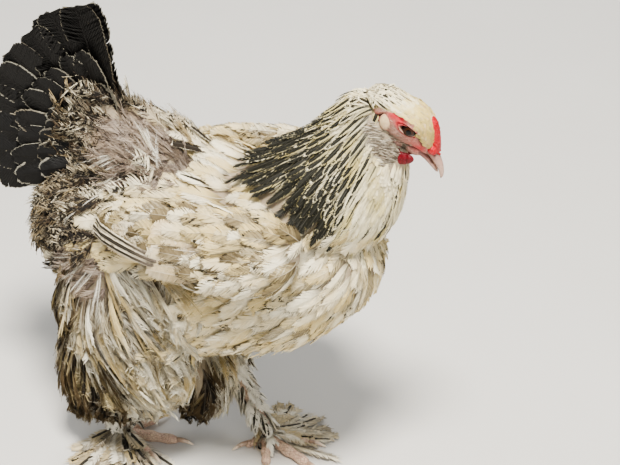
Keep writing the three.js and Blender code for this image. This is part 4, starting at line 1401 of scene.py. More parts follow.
class HEN_OT_down(bpy.types.Operator):
    """Lays the grey down that shows where the coat has parted, and the white plumes round it"""

    bl_idname = "hen.down"
    bl_label = "Down"

    def execute(self, context):
        rng = np.random.default_rng(18)
        surface = SKIN["all"]
        shapes = templates(rng, 8, WISP, 14, sweep=0.8, fray=0.12, cleft=0.5, spread=0.2, wave=0.05,
                           width=0.35, bow=0.3, shaft=0.03)
        coat = Plumage()
        forms = [trunk(), cushion()]

        def inside(p):
            return np.any([np.linalg.norm(p - np.array(m), axis=1) < r * 1.25 for m, r in PARTINGS], axis=0)

        roots = on_form(forms, surface, 4.2, rng, inside)
        count = len(roots)
        # Painted shade: the down turns dark and inked towards the middle of the hollow.
        hollow_shade = np.exp(-(((roots - np.array(SHADED_HOLLOW)) ** 2).sum(1)) / 15**2)
        marks = marked(rng, count, 0.25 + 0.7 * hollow_shade, 0.9 * hollow_shade, 0.4, (0.25, 0.02, 0.3))
        lay(coat, shapes, rng, surface, roots, trunk_lie, 17 * rng.uniform(0.7, 1.3, count), 7.5,
            6 * rng.uniform(0.5, 1.4, count), marks, roll=0.8, waver=0.9)
        coat_piece(coat, "coat_down", "down")
        plumes = Plumage()
        sparse = templates(rng, 6, LANCE, 24, sweep=0.5, fray=0.08, cleft=0.3, spread=0.1, wave=0.03,
                           width=0.16, shaft=0.14, bow=0.1)
        for start, end, number, spread in PLUMES:
            starts = np.array(start, float) + rng.normal(0, spread, (number, 3))
            ends = np.array(end, float) + rng.normal(0, 1.6 * spread, (number, 3))
            reach = np.linalg.norm(ends - starts, axis=1)
            ahead = unit(ends - starts)
            marks = marked(rng, number, 0.05, 0.0, 0.2, (0.08, 0.02, 0.2))
            for at in range(number):
                one = slice(at, at + 1)
                lay(plumes, sparse, rng, surface, starts[one], straight(ahead[at]), reach[at],
                    rng.uniform(1.8, 3.4), 10.5, marks[one], roll=0.5, waver=0.02, rise=0.5)
        coat_piece(plumes, "coat_plumes", "plume")
        return {"FINISHED"}


# White plumes over the down: mean root, mean tip, how many and how much they stray.
PLUMES = [
    ((-42, -40, 336), (-62, -18, 352), 5, 4),
    ((-38, -42, 334), (-70, -34, 344), 4, 5),
    ((-82, -36, 346), (-124, -52, 318), 5, 5),
    ((-72, -50, 330), (-112, -72, 296), 4, 5),
    ((-86, -54, 322), (-120, -78, 284), 5, 6),
    ((-84, -94, 262), (-128, -82, 238), 5, 6),
    ((-90, -94, 250), (-104, -92, 208), 5, 6),
]


# The first and last root of the wisps that hang like a curtain from the right wing, and their number.
CURTAIN = ((-44, -108, 276), (48, -112, 286))
WISPS = 22


class HEN_OT_thigh_coat(bpy.types.Operator):
    """Lays the loose fluff of the thighs, with long wisps over it"""

    bl_idname = "hen.thigh_coat"
    bl_label = "Thigh fluff"

    def execute(self, context):
        settings = context.scene.hen_coat
        surface = SKIN["all"]
        for foot in FEET:
            rng = np.random.default_rng(13)
            shapes = templates(rng, 8, WISP, 20, sweep=0.7, fray=0.05, cleft=0.2, spread=0.06, wave=0.02,
                               width=0.5, taper=0.3, bow=0.2)
            wisps = templates(rng, 10, FAN, 32, sweep=1.0, fray=0.08, cleft=0.15, spread=0.07, wave=0.02,
                              width=0.12, taper=0.5, bow=0.25, shaft=0.015)
            # The fluff under the wisps is darker: partly grey under-colour, partly painted shade between the
            # wisps.
            for label, kinds, spacing, size, half, depth, pale in (
                ("fluff", shapes, 1.15, 42, 12, 6, 0.0),
                ("wisps", wisps, 0.95, 56, 12.5, 10, 0.46),
            ):
                coat = Plumage()
                forms = thigh(foot)
                roots = on_form(forms, surface, settings.spacing * spacing, rng)
                flank = on_form([trunk()], surface, settings.spacing * spacing, rng,
                                lambda p: fluffy(p) & (p[:, 1] * foot["side"] > 0))
                roots = thinned(np.vstack([roots, flank]), settings.spacing * spacing * CLOSEST)
                roots = roots[~parted(roots, thigh_lie, 30)]
                count = len(roots)
                x, _, z = roots.T
                # Darker at the rear and low down: partly dirt, partly painted shade under the body.
                dark = smooth(-70, -105, x) * smooth(180, 125, z) + 0.8 * smooth(-108, -130, x)
                dark += smooth(125, 85, z) * smooth(-15, -27, x) if foot["side"] > 0 else smooth(88, 66, z)
                dark = np.clip(dark, 0, 1)
                marks = marked(rng, count, 0.6 + 0.35 * dark - pale * (1 - 0.9 * dark),
                               0.6 * dark * (rng.random(count) < 0.6), 0.3 + 0.4 * dark, (0.15, 0.05, 0.3))
                free = smooth(118, 84, z) * (label == "wisps")
                hem = 24 if foot["side"] > 0 else 82 - 34 * smooth(-98, -122, x)
                length = np.minimum(size * rng.uniform(0.7, 1.15, count), np.maximum(z - hem, 15))
                lay(coat, kinds, rng, surface, roots, thigh_lie, length, half,
                    depth * rng.uniform(0.6, 1.2, count) * (1 - 0.6 * free),
                    marks, roll=0.3, waver=0.15, free=free)
                if label == "wisps":
                    first, last = np.array(CURTAIN)
                    starts = first + rng.random((WISPS, 1)) * (last - first)
                    starts[:, 1] *= -foot["side"]
                    marks = marked(rng, len(starts), 0.16, 0.0, 0.5, (0.12, 0.02, 0.25))
                    lay(coat, kinds, rng, surface, starts, straight([0.75, 0, -1.0]),
                        66 * rng.uniform(0.8, 1.1, len(starts)), 11, 14, marks, roll=0.3, waver=0.1)
                coat_piece(coat, f"coat_{label}_{foot['tag']}", "fluff")
        return {"FINISHED"}


def hackle_hem(p):
    """How far back the tips of the hackle reach: a cape over the back, further forward at the sides."""
    return 18 + 0.0111 * p[:, 1] ** 2 + 1.9 * np.maximum(332 - p[:, 2], 0)


class HEN_OT_neck_coat(bpy.types.Operator):
    """Lays the laced hackle of the neck"""

    bl_idname = "hen.neck_coat"
    bl_label = "Hackle"

    def execute(self, context):
        rng = np.random.default_rng(14)
        surface = SKIN["all"]
        shapes = templates(rng, 8, LANCE, 20, sweep=0.3, fray=0.02, cleft=0.1, spread=0.03)
        upper = on_form([neck()], surface, 5.2, rng, lambda p: p[:, 0] > 118)
        lower = on_form([neck()], surface, 6.6, rng, lambda p: (p[:, 0] > 48) & (p[:, 0] < 118))
        cape = on_form([trunk(), cushion()], surface, 6.6, rng,
                       lambda p: (p[:, 0] > 45) & (p[:, 2] > 292))
        roots = np.vstack([upper, lower, cape])
        share = along_neck(roots) / (len(SPINE_POINTS) - 1)
        length = (24 + 66 * np.clip(share, 0, 0.5)) * rng.uniform(0.85, 1.15, len(roots))
        tips = lie(surface, roots, neck_lie, length, np.zeros(len(roots)))[0][:, -1]
        past = tips[:, 0] - hackle_hem(tips) + rng.normal(0, 5, len(roots))
        kept = (past > 0) & ~under_throat(roots)
        roots, share, length, past = (rows[kept] for rows in (roots, share, length, past))
        coat, count = Plumage(), len(roots)
        offset = roots - SPINE_POINTS[along_neck(roots)]
        front = smooth(0.3, 0.65, offset[:, 0] / np.linalg.norm(offset, axis=1))
        black = 0.38 + 0.54 * smooth(118, 34, past)
        black *= 1 - 0.97 * front
        black = np.where((front > 0.5) & (rng.random(count) < 0.12), 0.35, black)
        marks = marked(rng, count, 0.1 + (0.16 + 0.2 * smooth(80, 30, past)) * (1 - front), black, 0.35,
                       (0.12, 0.05, 0.2))
        cover = smooth(110, 80, roots[:, 0])
        lay(coat, shapes, rng, surface, roots, neck_lie, length, 3.2 + 6.5 * share,
            6 - 3 * front + 5 * cover, marks, roll=0.2, waver=0.09)
        coat_piece(coat, "coat_neck", "hackle", "hackle")
        return {"FINISHED"}


def wing_lie(p):
    """Backwards along the folded wing, a little down."""
    fall = np.radians(8 - 7 * np.clip((316 - p[:, 2]) / 45, 0, 1))
    return np.stack([-np.cos(fall), np.zeros(len(p)), -np.sin(fall)], 1)


def on_wing(side):
    """A test of whether places lie on the outer face of a wing, where its coverts are rooted."""
    return lambda p: (p[:, 1] * side > 42) & (p[:, 0] > -60) & (p[:, 2] > 286 - 0.15 * p[:, 0])


class HEN_OT_wings(bpy.types.Operator):
    """Lays coverts, secondaries and primaries on the folded wings"""

    bl_idname = "hen.wings"
    bl_label = "Wings"

    def execute(self, context):
        settings = context.scene.hen_coat
        surface = SKIN["all"]
        for tag, side in SIDES:
            rng = np.random.default_rng(15)
            soft = templates(rng, 8, SOFT, settings.barbs, sweep=0.4, fray=0.028, cleft=0.12, spread=0.03,
                             taper=0.5, width=0.75)
            firm = templates(rng, 5, BLADE, 36, sweep=0.14, fray=0.008, cleft=0.08, spread=0.02, taper=0.7)
            roots = on_form([wing(side)], surface, settings.spacing, rng, on_wing(side))
            roots = roots[~under_hackle(roots, 40)]
            coat, count = Plumage(), len(roots)
            soiled = smooth(318, 290, roots[:, 2]) * smooth(90, 20, roots[:, 0])
            # Painted shade along the lower edge of the folded wing.
            under = smooth(292, 284, roots[:, 2]) * smooth(50, 20, roots[:, 0])
            marks = marked(rng, count, 0.46 + 0.42 * soiled + 0.3 * under, 0.0, 0.6, (0.27, 0.05, 0.25))
            lay(coat, soft, rng, surface, roots, wing_lie, 34 * rng.uniform(0.8, 1.2, count), 8.2,
                (8 - 5 * (side > 0) * smooth(300, 320, roots[:, 2])) * rng.uniform(0.6, 1.2, count), marks,
                roll=0.2, waver=0.2)
            coat_piece(coat, f"coat_wing_{tag}", "body_feather")
            quills = Plumage()
            for first, last, number, start, reach, half, depth, ink in QUILL_ROWS:
                share = np.linspace(0, 1, number)
                z = first + (last - first) * share
                spots = np.stack([np.full(number, float(start)), np.full(number, side * 100.0), z], 1)
                marks = marked(rng, number, 0.25, ink, 0.35, (0.1, 0.04, 0.15))
                lay(quills, firm, rng, surface, spots, wing_lie, reach * rng.uniform(0.95, 1.05, number),
                    half, depth + 1.5 * share, marks, roll=0.05, waver=0.03)
            for start, end, half, tone, ink, depth, rise in PRIMARIES + (FAR_TIPS if side > 0 else []):
                start, end = (np.array([x, side * y, z], float) for x, y, z in (start, end))
                reach = end - start
                marks = marked(rng, 1, tone, ink, 0.1, (0.02, 0.02, 0.02))
                lay(quills, firm, rng, surface, start[None], straight(unit(reach)), np.linalg.norm(reach),
                    half, depth, marks, waver=0.0, rise=rise)
            coat_piece(quills, f"quills_{tag}", "quill")
        return {"FINISHED"}


# Primaries that stick out of the folded wing: place of root and tip on the left wing, half width, shade,
# how black, height over the skin and how the height grows.
PRIMARIES = [
    ((6, 112, 283), (-92, 88, 288), 3.2, 0.1, 0.62, 12.5, 0.12),
    ((2, 112, 279), (-88, 90, 283), 3.0, 0.1, 0.55, 12.5, 0.12),
    ((-6, 110, 287), (-90, 84, 294), 2.8, 0.1, 0.5, 12.5, 0.12),
]
# Tips of the left wing's primaries, which lie over the back, in the same way.
FAR_TIPS = [
    ((-6, 20, 354), (-50, -10, 348), 5.5, 0.0, 0.98, 12, 0.4),
    ((-16, 30, 354), (-58, -2, 350), 6.5, 0.0, 0.0, 12, 0.4),
    ((-8, 42, 352), (-52, 26, 356), 4.5, 0.0, 0.98, 12, 0.4),
]
# Rows of quills on a wing: height of the first and of the last root, number, x of the roots, length, half
# width, height of the tips over the skin, and how dark they are.
QUILL_ROWS = [
    (279, 271, 4, -16, 86, 5.5, 5.0, 0.8),
    (314, 284, 8, 6, 70, 9.5, 6.5, 0.08),
    (316, 276, 8, 32, 50, 10.5, 7.5, 0.05),
]


def tent(point):
    """How far the side of the tail stands out from the middle plane, at a place given from its root."""
    angle = np.degrees(np.arctan2(point[:, 2], point[:, 0]))
    turn = np.clip((np.where(angle < 0, angle + 360, angle) - 100) / 105, -0.1, 1.2)
    return 3 + turn * (10 + 0.16 * np.linalg.norm(point, axis=1))


def tail_row(coat, shapes, rng, surface, side, row):
    """A fan of tail feathers on one side of the tail."""
    first, last, number, root, tips, lift, half, tone, ink = row
    angles = np.radians(np.linspace(first, last, number) + rng.normal(0, 1.0, number))
    reach = np.linspace(*tips, number) * rng.uniform(0.97, 1.03, number)
    along = np.stack([np.cos(angles), np.zeros(number), np.sin(angles)], 1)
    down = np.stack([-np.sin(angles), np.zeros(number), np.cos(angles)], 1)
    paths = []
    for k in range(PATH_ROWS):
        share = k / (PATH_ROWS - 1)
        spot = along * (root + (reach - root) * share)[:, None]
        out = tent(spot) + lift[0] + (lift[1] - lift[0]) * share
        spot = spot + TAIL_ROOT
        spot[:, 1] = side * out
        paths.append(spot)
    marks = marked(rng, number, tone, ink, 0.3, (0.12, 0.05, 0.2))
    rows = [np.stack(paths, 1)]
    for way in (side * LEFT - TAIL_SLOPE * down, side * down + TAIL_SLOPE * LEFT):
        rows.append(np.repeat(unit(way)[:, None], PATH_ROWS, axis=1))
    strew(coat, shapes, rng, surface, rows[0][:, 0], rows, np.full(number, float(half)), marks)


# How much the sides of the tail lean towards each other.
TAIL_SLOPE = 0.09
# Rows of the tail: first and last angle above the way she faces, number, reach of the roots and of the
# first and last tips, height over the tent at root and tip, half width, shade and how black.
TAIL_ROWS = [
    (106, 199, 9, 34, (146, 134), (0.0, 0.5), 20, 0.3, 1.0),
    (110, 199, 9, 22, (104, 108), (2.5, 4.0), 14.5, 0.35, 1.0),
    (108, 197, 9, 12, (72, 82), (5.0, 7.0), 13.5, 0.4, 0.85),
]


class HEN_OT_tail(bpy.types.Operator):
    """Lays the fan of the tail and its coverts"""

    bl_idname = "hen.tail"
    bl_label = "Tail"

    def execute(self, context):
        rng = np.random.default_rng(16)
        surface = SKIN["all"]
        fans = templates(rng, 5, FAN, 84, sweep=0.12, fray=0.002, cleft=0.04, spread=0.01, taper=1.0,
                         bow=0.08, shaft=0.035, blunt=1.0, width=0.85)
        coverts = templates(rng, 5, ROUND, 60, sweep=0.14, fray=0.003, cleft=0.05, spread=0.012, taper=1.0,
                            bow=0.12, blunt=1.0, width=0.85)
        coat = Plumage()
        for _, side in SIDES:
            for row in TAIL_ROWS:
                tail_row(coat, fans if row is TAIL_ROWS[0] else coverts, rng, surface, side, row)
        coat_piece(coat, "coat_tail", "tail", "tail_feather")
        return {"FINISHED"}


def leg_lie(foot):
    """Down the shank."""
    (bx, by), (hx, hy, hz) = foot["ball"], foot["hock"]
    return straight(unit(np.array([bx - hx, by - hy, 5.0 - hz])))


class HEN_OT_leg_feathers(bpy.types.Operator):
    """Lays the feathers of shanks and feet"""

    bl_idname = "hen.leg_feathers"
    bl_label = "Leg feathers"

    def execute(self, context):
        surface = SKIN["all"]
        for foot in FEET:
            rng = np.random.default_rng(17)
            shapes = templates(rng, 6, LANCE, 16, sweep=0.25, fray=0.025, cleft=0.2, spread=0.05)
            coat = Plumage()
            roots = on_form([shank_form(foot)], surface, 4.6, rng, lambda p: p[:, 2] > 16, near=3.0)
            count = len(roots)
            marks = marked(rng, count, 0.18, 0.4 * (rng.random(count) < 0.35), 0.15, (0.2, 0.1, 0.25))
            lay(coat, shapes, rng, surface, roots, leg_lie(foot), 27 * rng.uniform(0.75, 1.25, count), 5.5,
                9.5 * rng.uniform(0.6, 1.2, count), marks, roll=0.4, waver=0.25)
            self.fan(coat, foot, rng, surface)
            coat_piece(coat, f"coat_leg_{foot['tag']}", "leg", "leg_feather")
        return {"FINISHED"}

    def fan(self, coat, foot, rng, surface):
        """The stiff feathers that stand out from the outer side of the foot."""
        shapes = templates(rng, 5, BLADE, 22, sweep=0.25, fray=0.025, cleft=0.25, spread=0.05)
        start, end = foot["plume"]
        for number, root, tips, heights, half in FOOT_ROWS:
            share = np.linspace(0, 1, number)
            angle = np.radians(start + (end - start) * share + rng.normal(0, 4, number))
            tip = (tips[0] + (tips[1] - tips[0]) * share) * rng.uniform(0.85, 1.05, number)
            along = np.stack([np.cos(angle), foot["side"] * np.sin(angle), np.zeros(number)], 1)
            across = np.stack([-np.sin(angle), foot["side"] * np.cos(angle), np.zeros(number)], 1)
            across *= foot["side"]
            paths = []
            for k in range(PATH_ROWS):
                t = k / (PATH_ROWS - 1)
                spot = np.array([*foot["ball"], 0.0]) + along * (root + t * (tip - root))[:, None]
                spot[:, 2] = heights[0] + (heights[1] - heights[0]) * t**0.7
                paths.append(spot)
            paths = np.stack(paths, 1)
            ups = np.tile([0, 0, 1.0], (number, PATH_ROWS, 1))
            ups, outs = rolled(rng, 0.25, ups, np.repeat(across[:, None], PATH_ROWS, axis=1))
            marks = marked(rng, number, 0.3, 0.12, 0.6, (0.2, 0.2, 0.25))
            strew(coat, shapes, rng, surface, paths[:, 0], (paths, ups, outs), np.full(number, float(half)),
                  marks)


# Rows of foot feathers: number, reach of roots and of the first and last tips, heights of root and tip,
# half width.
FOOT_ROWS = [
    (13, 8, (78, 62), (8, 3), 6.5),
    (10, 5, (58, 50), (13, 6), 6.5),
    (8, 3, (42, 38), (18, 10), 6),
]


def head_piece(name, forms, finish, voxel=None, rounds=1):
    """A piece of the head, from forms in the head's own frame."""
    return shaped(name, forms, finish, voxel, rounds, place=HEAD_PLACE)


class HEN_OT_eyes(bpy.types.Operator):
    """Makes the eyes"""

    bl_idname = "hen.eyes"
    bl_label = "Eyes"

    def execute(self, context):
        for tag, side in SIDES:
            centre = np.array([EYE_AT[0], side * EYE_AT[1], EYE_AT[2]])
            thing = head_piece(f"eye_ball_{tag}", [ball(centre, [EYE_RADIUS - 0.2] * 3, 48)], "eye")
            axis = unit(np.array([0.12, side, 0.02]))
            offset = in_head(points_of(thing.data)) - centre
            paint(thing, "Reach", np.arccos(np.clip(unit(offset) @ axis, -1, 1)))
            settle(thing, f"eye_{tag}", slot="eye")
        return {"FINISHED"}


class HEN_OT_bill(bpy.types.Operator):
    """Makes the upper and the lower bill, with nostrils"""

    bl_idname = "hen.bill"
    bl_label = "Bill"

    def execute(self, context):
        upper = [
            [26, 0, -2.6, 7.4, 6.4, 5.6],
            [32, 0, -3, 6.8, 6.0, 5.0],
            [39, 0, -4.4, 5.6, 4.6, 3.2],
            [48, 0, -7.2, 4.2, 3.8, 2.5],
            [54, 0, -10, 2.6, 2.7, 1.9],
            [25 + BILL_LENGTH, 0, -13.4, 1.4, 1.6, 1.4],
            [27 + BILL_LENGTH, 0, -16.4, 0.5, 0.6, 0.6],
        ]
        lower = [
            [22, 0, -11.2, 6.4, 2.6, 3.0],
            [30, 0, -11, 5.8, 2.6, 2.9],
            [37, 0, -10.8, 4.7, 2.4, 2.6],
            [46, 0, -12, 3.2, 1.9, 2.0],
            [54, 0, -14, 1.4, 1, 1.1],
        ]
        for node, rows in (("beak_upper", upper), ("beak_lower", lower)):
            form = loft(rows, 40, 40, square=2.2)
            thing = head_piece(node.replace("beak", "bill"), [form], "bill", 0.35, 2)
            x, y, z = in_head(points_of(thing.data)).T
            if node == "beak_upper":
                along, over = x - NOSTRIL[0], z - NOSTRIL[1]
                gap = np.hypot((along - 0.25 * over) / 3.6, (over + 0.25 * along) / 0.75)
                wall = smooth(1.5, 3, np.abs(y))
                push_out(thing, (0.6 * bump(gap, 1.9, 0.5) - 1.6 * smooth(1.3, 0.6, gap)) * wall)
            paint(thing, "Reach", np.clip((x - 28) / 32, 0, 1))
            settle(thing, node, slot="bill_horn")
        return {"FINISHED"}


# Where a nostril lies in the head's frame, ahead and up.
NOSTRIL = (37, -0.9)


class HEN_OT_comb(bpy.types.Operator):
    """Makes the pea comb, the wattles and the ear lobes"""

    bl_idname = "hen.comb"
    bl_label = "Comb and wattles"

    def execute(self, context):
        rng = np.random.default_rng(21)
        ridge = [
            [11, 0, 17.6, 3.0, 2.4, 3],
            [17, 0, 17.6, 4.8, 3.2, 3.5],
            [24, 0, 13.2, 5.8, 3.8, 4],
            [33, 0, 5.4, 5.4, 4.0, 4],
            [41.5, 0, -2.6, 3, 3.0, 3],
        ]
        spine = curve([row[:3] for row in ridge], np.linspace(0.1, 0.98, PEA_ROWS))
        forms = [loft(ridge, 32, 24)]
        forms += [ball((35, side * 5.2, 0), (5, 2.6, 4), 20) for _, side in SIDES]
        for at, (x, _, z) in enumerate(spine):
            swell = 0.6 + 0.4 * math.sin(math.pi * (at + 1) / (PEA_ROWS + 1))
            for lane, height, radius in PEA_LANES:
                out = height * swell
                place = (
                    x + 0.6 * out + rng.normal(0, 0.5),
                    lane * 1.7 * swell + rng.normal(0, 0.35),
                    z + 0.75 * out + rng.normal(0, 0.5),
                )
                forms.append(ball(place, [radius * swell * rng.uniform(0.75, 1.25)] * 3, 10))
        settle(head_piece("pea_comb", forms, "comb", 0.4), "comb", slot="comb_skin")
        for tag, side in SIDES:
            turn = Euler((0, -WATTLE_TILT, 0)).to_matrix()
            forms = [
                ball((22.8, side * 9.4, -25.8), (12.2, 3.0, 5.9), 32, turn),
                ball((15, side * 9, -24), (6, 3, 4.5), 24),
            ]
            wattle = head_piece(f"wattle_lobe_{tag}", forms, "wattle", 0.5, 2)
            x, y, z = in_head(points_of(wattle.data)).T
            along = (x - 24.5) * math.cos(WATTLE_TILT) + (z + 24) * math.sin(WATTLE_TILT)
            fold = -0.9 * bump(along, 3.4, 0.8) - 0.4 * bump(along, -1.5, 0.7) - 0.4 * bump(along, -6, 0.7)
            push_out(wattle, fold * (np.abs(y) > 8.5))
            settle(wattle, f"wattle_{tag}", slot="comb_skin")
            ear_forms = [
                ball((-10.2, side * 15.3, -7.6), (5.6, 3.1, 7.8), 32, Euler((0, -EAR_TILT, 0)).to_matrix()),
            ]
            ear = head_piece(f"ear_lobe_{tag}", ear_forms, "face", 0.5, 2)
            local = in_head(points_of(ear.data))
            x, y, z = local.T
            # Where it meets the face the lobe is redder, and a little darker as painted shade.
            rim = smooth(17.6, 16.4, np.abs(y))
            # Painted highlight: cream towards the lobe's top and back, fading to pink below and in front.
            pale = (0.88 - 0.4 * rim) * smooth(-18, -10, z) * (0.5 + 0.5 * smooth(-4, -12, x))
            flesh = np.stack([0.18 * rim, pale, 0.1 * rim, np.ones(len(x))], 1)
            paint(ear, "Flesh", flesh)
            settle(ear, f"earlobe_{tag}", slot="face_skin")
        return {"FINISHED"}


# How many rows of peas follow each other along the comb.
PEA_ROWS = 15
# Rows of peas along the comb: place across it, height over it and radius.
PEA_LANES = [(0, 3.0, 1.5), (1, 2.6, 1.4), (-1, 2.6, 1.4), (2.1, 1.0, 1.3), (-2.1, 1.0, 1.3),
             (3, -1.2, 1.2), (-3, -1.2, 1.2)]
# How far wattles and ear lobes lean.
WATTLE_TILT = math.radians(48)
EAR_TILT = math.radians(40)


class HEN_OT_claws(bpy.types.Operator):
    """Makes the claws"""

    bl_idname = "hen.claws"
    bl_label = "Claws"

    def execute(self, context):
        for foot in FEET:
            for name, length, _ in TOES:
                ahead = toe_ahead(foot, name)
                rows = [[foot["ball"][0] + ahead[0] * (length + far),
                         foot["ball"][1] + ahead[1] * (length + far), z] + [radius, radius * 1.1, radius]
                        for far, z, radius in ((-5, 5, 2.6), (0, 5.4, 2.6), (4, 5.2, 2.3), (9, 3.6, 1.6),
                                               (14, 1.1, 0.6))]
                made = loft(rows, 20, 24, np.cross([0, 0, 1], ahead), floor=0)
                thing = shaped(f"nail_{foot['tag']}_{name}", [made], "claw")
                gap = points_of(thing.data)[:, :2] - np.array(foot["ball"])
                paint(thing, "Reach", np.clip((gap @ ahead[:2] - length + 2) / 14, 0, 1))
                settle(thing, f"claw_{foot['tag']}_{name}", slot="claw_horn")
        return {"FINISHED"}


def crown_line(x):
    """The edge between the feathered crown and the bare face, as a height over the head's axis."""
    return np.interp(x, CROWN_EDGE[0], CROWN_EDGE[1])


# The edge of the crown's feathers: places along the head and heights over its axis.
CROWN_EDGE = ([-40, -22, -17, -12, -7, 0, 9.7, 14, 20, 27, 34],
              [-12, -3, 1, 4.5, 9.5, 10.8, 13, 9.5, 4.5, -0.5, -1])


def head_lie(p):
    """Back over the crown, and down behind the cheeks."""
    x, y, z = in_head(p).T
    below = smooth(-8, -22, z)
    brow = smooth(4, 14, x) * smooth(16, 8, z)
    local = np.stack([-np.ones(len(p)), 0.1 * np.sign(y), -0.1 - 0.9 * below + 0.5 * brow], 1)
    return local @ np.array(HEAD_TURN).T


def under_throat(p):
    """Whether places lie on the bristly skin of the cheeks and of the throat."""
    x, _, z = in_head(p).T
    low = np.interp(x, [-19, -8, 4, 14, 30], [-8, -21, -27, -29, -29])
    return (z < crown_line(x)) & (x > -19) & (z > low)


def below_throat(p):
    """Whether places lie on the front of the neck, just under the bristly skin."""
    x, _, z = in_head(p).T
    return (z < -24) & (z > -52) & (x > -26) & ~under_throat(p)


class HEN_OT_head_coat(bpy.types.Operator):
    """Lays the small feathers of crown, nape and throat, and the bristles of the face"""

    bl_idname = "hen.head_coat"
    bl_label = "Head feathers"

    def execute(self, context):
        rng = np.random.default_rng(22)
        surface = SKIN["all"]
        shapes = templates(rng, 8, ROUND, 8, sweep=0.45, fray=0.03, cleft=0.2, spread=0.04, width=0.7,
                           bow=0.15)
        coat = Plumage()

        def feathered(p):
            x, y, z = in_head(p).T
            comb = (np.abs(y) < 4.2) & (x > 15)
            return (z > crown_line(x)) & ~comb | (x < -19) & (z > -40)

        front = on_form([head_forms()], surface, 2.0, rng, lambda p: feathered(p) & (in_head(p)[:, 0] > -18))
        nape = on_form([head_forms(), neck()], surface, 3.4, rng,
                       lambda p: feathered(p) & (in_head(p)[:, 0] < -17))
        roots = np.vstack([front, nape])
        x, y, z = in_head(roots).T
        count = len(roots)
        back = smooth(6, -30, x)
        length = 5.5 + 22 * back
        marks = marked(rng, count, 0.12 + 0.14 * smooth(2, -18, x), 0.66 * smooth(-2, -16, x)
                       * (rng.random(count) < 0.7), 0.85 - 0.75 * smooth(6, -14, x), (0.12, 0.06, 0.12))
        lay(coat, shapes, rng, surface, roots, head_lie, length * rng.uniform(0.8, 1.2, count),
            1.7 + 1.5 * back, 0.7 + 2.4 * back, marks, roll=0.2, waver=0.12, sink=0.3)
        throat = on_form([head_forms(), neck()], surface, 3.0, rng, below_throat)
        count = len(throat)
        marks = marked(rng, count, 0.25, 0.5 * (rng.random(count) < 0.15), 0.25, (0.15, 0.06, 0.12))
        lay(coat, shapes, rng, surface, throat, neck_lie, 13 * rng.uniform(0.8, 1.2, count), 2.4, 2.2,
            marks, roll=0.2, waver=0.12, sink=0.3)
        coat_piece(coat, "coat_head", "crown")
        bristles = Plumage()
        down = -np.array(HEAD_TURN)[:, 2]
        shapes = templates(rng, 5, LANCE, 4, sweep=0.5, fray=0.06, cleft=0.3, spread=0.05, shaft=0.25)
        forms = [head_forms(), neck()]
        roots = on_form(forms, surface, 1.6, rng,
                        lambda p: under_throat(p - 7 * down) & (in_head(p)[:, 0] < 24))
        local = in_head(roots)
        ring, _ = eye_ring(local)
        low = smooth(-6, -20, local[:, 2])
        dense = 0.35 + 0.6 * low - 0.5 * blob(local, (-16, 15, -15), 7)
        kept = (ring > 1.7) & (rng.random(len(roots)) < dense)
        kept &= blob(local, (-9.4, 16.3, -7.2), 7) < 0.4
        roots, low = roots[kept], low[kept]
        count = len(roots)
        marks = marked(rng, count, 0.2 + 0.3 * low, 0.3 * (rng.random(count) < 0.2 * low), 0.3,
                       (0.3, 0.05, 0.2))
        throat = smooth(-18, -28, in_head(roots)[:, 2])
        lay(bristles, shapes, rng, surface, roots, head_lie,
            rng.uniform(3, 5, count) + 4.5 * low + 3 * throat, 0.32 + 0.3 * low + 0.7 * throat,
            0.8 + 0.9 * low, marks, roll=0.3, waver=0.25, sink=0.3)
        coat_piece(bristles, "face_bristles", "bristle")
        return {"FINISHED"}


class HEN_OT_stage(bpy.types.Operator):
    """Sets the floor, the lights and the camera"""

    bl_idname = "hen.stage"
    bl_label = "Stage"

    def execute(self, context):
        settings = context.scene.hen_stage
        made = bmesh.new()
        bmesh.ops.create_grid(made, x_segments=1, y_segments=1, size=settings.floor_size / MM)
        bmesh.ops.translate(made, vec=(0, 0, -FLOOR_GAP), verts=made.verts)
        floor = piece("floor", made)
        finish, tree, shader = material("matt_paper_floor", Roughness=0.9)
        tone = blended(tree, noise(tree, 3.0), hue("floor_dark"), hue("floor_light"))
        wire(tree, shader, tone)
        floor.data.materials.append(finish)
        for name, place, size, power, warmth in LAMPS:
            lamp = bpy.data.lights.new(name, "AREA")
            lamp.shape = "DISK"
            lamp.size, lamp.energy, lamp.color = size, power, warmth
            held = bpy.data.objects.new(name, lamp)
            held.location = place
            held.rotation_euler = (LAMP_AIM - Vector(place)).to_track_quat("-Z", "Y").to_euler()
            context.scene.collection.objects.link(held)
        world = bpy.data.worlds.new("soft_sky")
        world.use_nodes = True
        world.node_tree.nodes["Background"].inputs[0].default_value = hue("sky")
        world.node_tree.nodes["Background"].inputs[1].default_value = settings.sky
        context.scene.world = world
        context.scene.view_settings.look = "AgX - Medium High Contrast"
        lens = bpy.data.cameras.new("camera")
        lens.sensor_width, lens.lens = SENSOR, settings.lens
        lens.clip_start, lens.clip_end = 0.05, 50
        camera = bpy.data.objects.new("camera", lens)
        turn, down = math.radians(CAMERA_TURN), math.radians(CAMERA_DOWN)
        right = Vector((math.cos(turn), math.sin(turn), 0))
        ahead = Vector((-math.sin(turn) * math.cos(down), math.cos(turn) * math.cos(down), -math.sin(down)))
        rows = Matrix((right, right.cross(ahead), -ahead)).transposed()
        camera.matrix_world = Matrix.Translation((Vector(CAMERA_AT) + ORIGIN) * MM) @ rows.to_4x4()
        context.scene.collection.objects.link(camera)
        context.scene.camera = camera
        return {"FINISHED"}


# How far the floor lies under the soles, so that the two don't flicker.
FLOOR_GAP = 0.2
# The camera's place in millimetres, how many degrees it is turned and looks down, and the width of its film.
CAMERA_AT = (589.13, -1126.05, 1045.88)
CAMERA_TURN = 24
CAMERA_DOWN = 32
SENSOR = 36
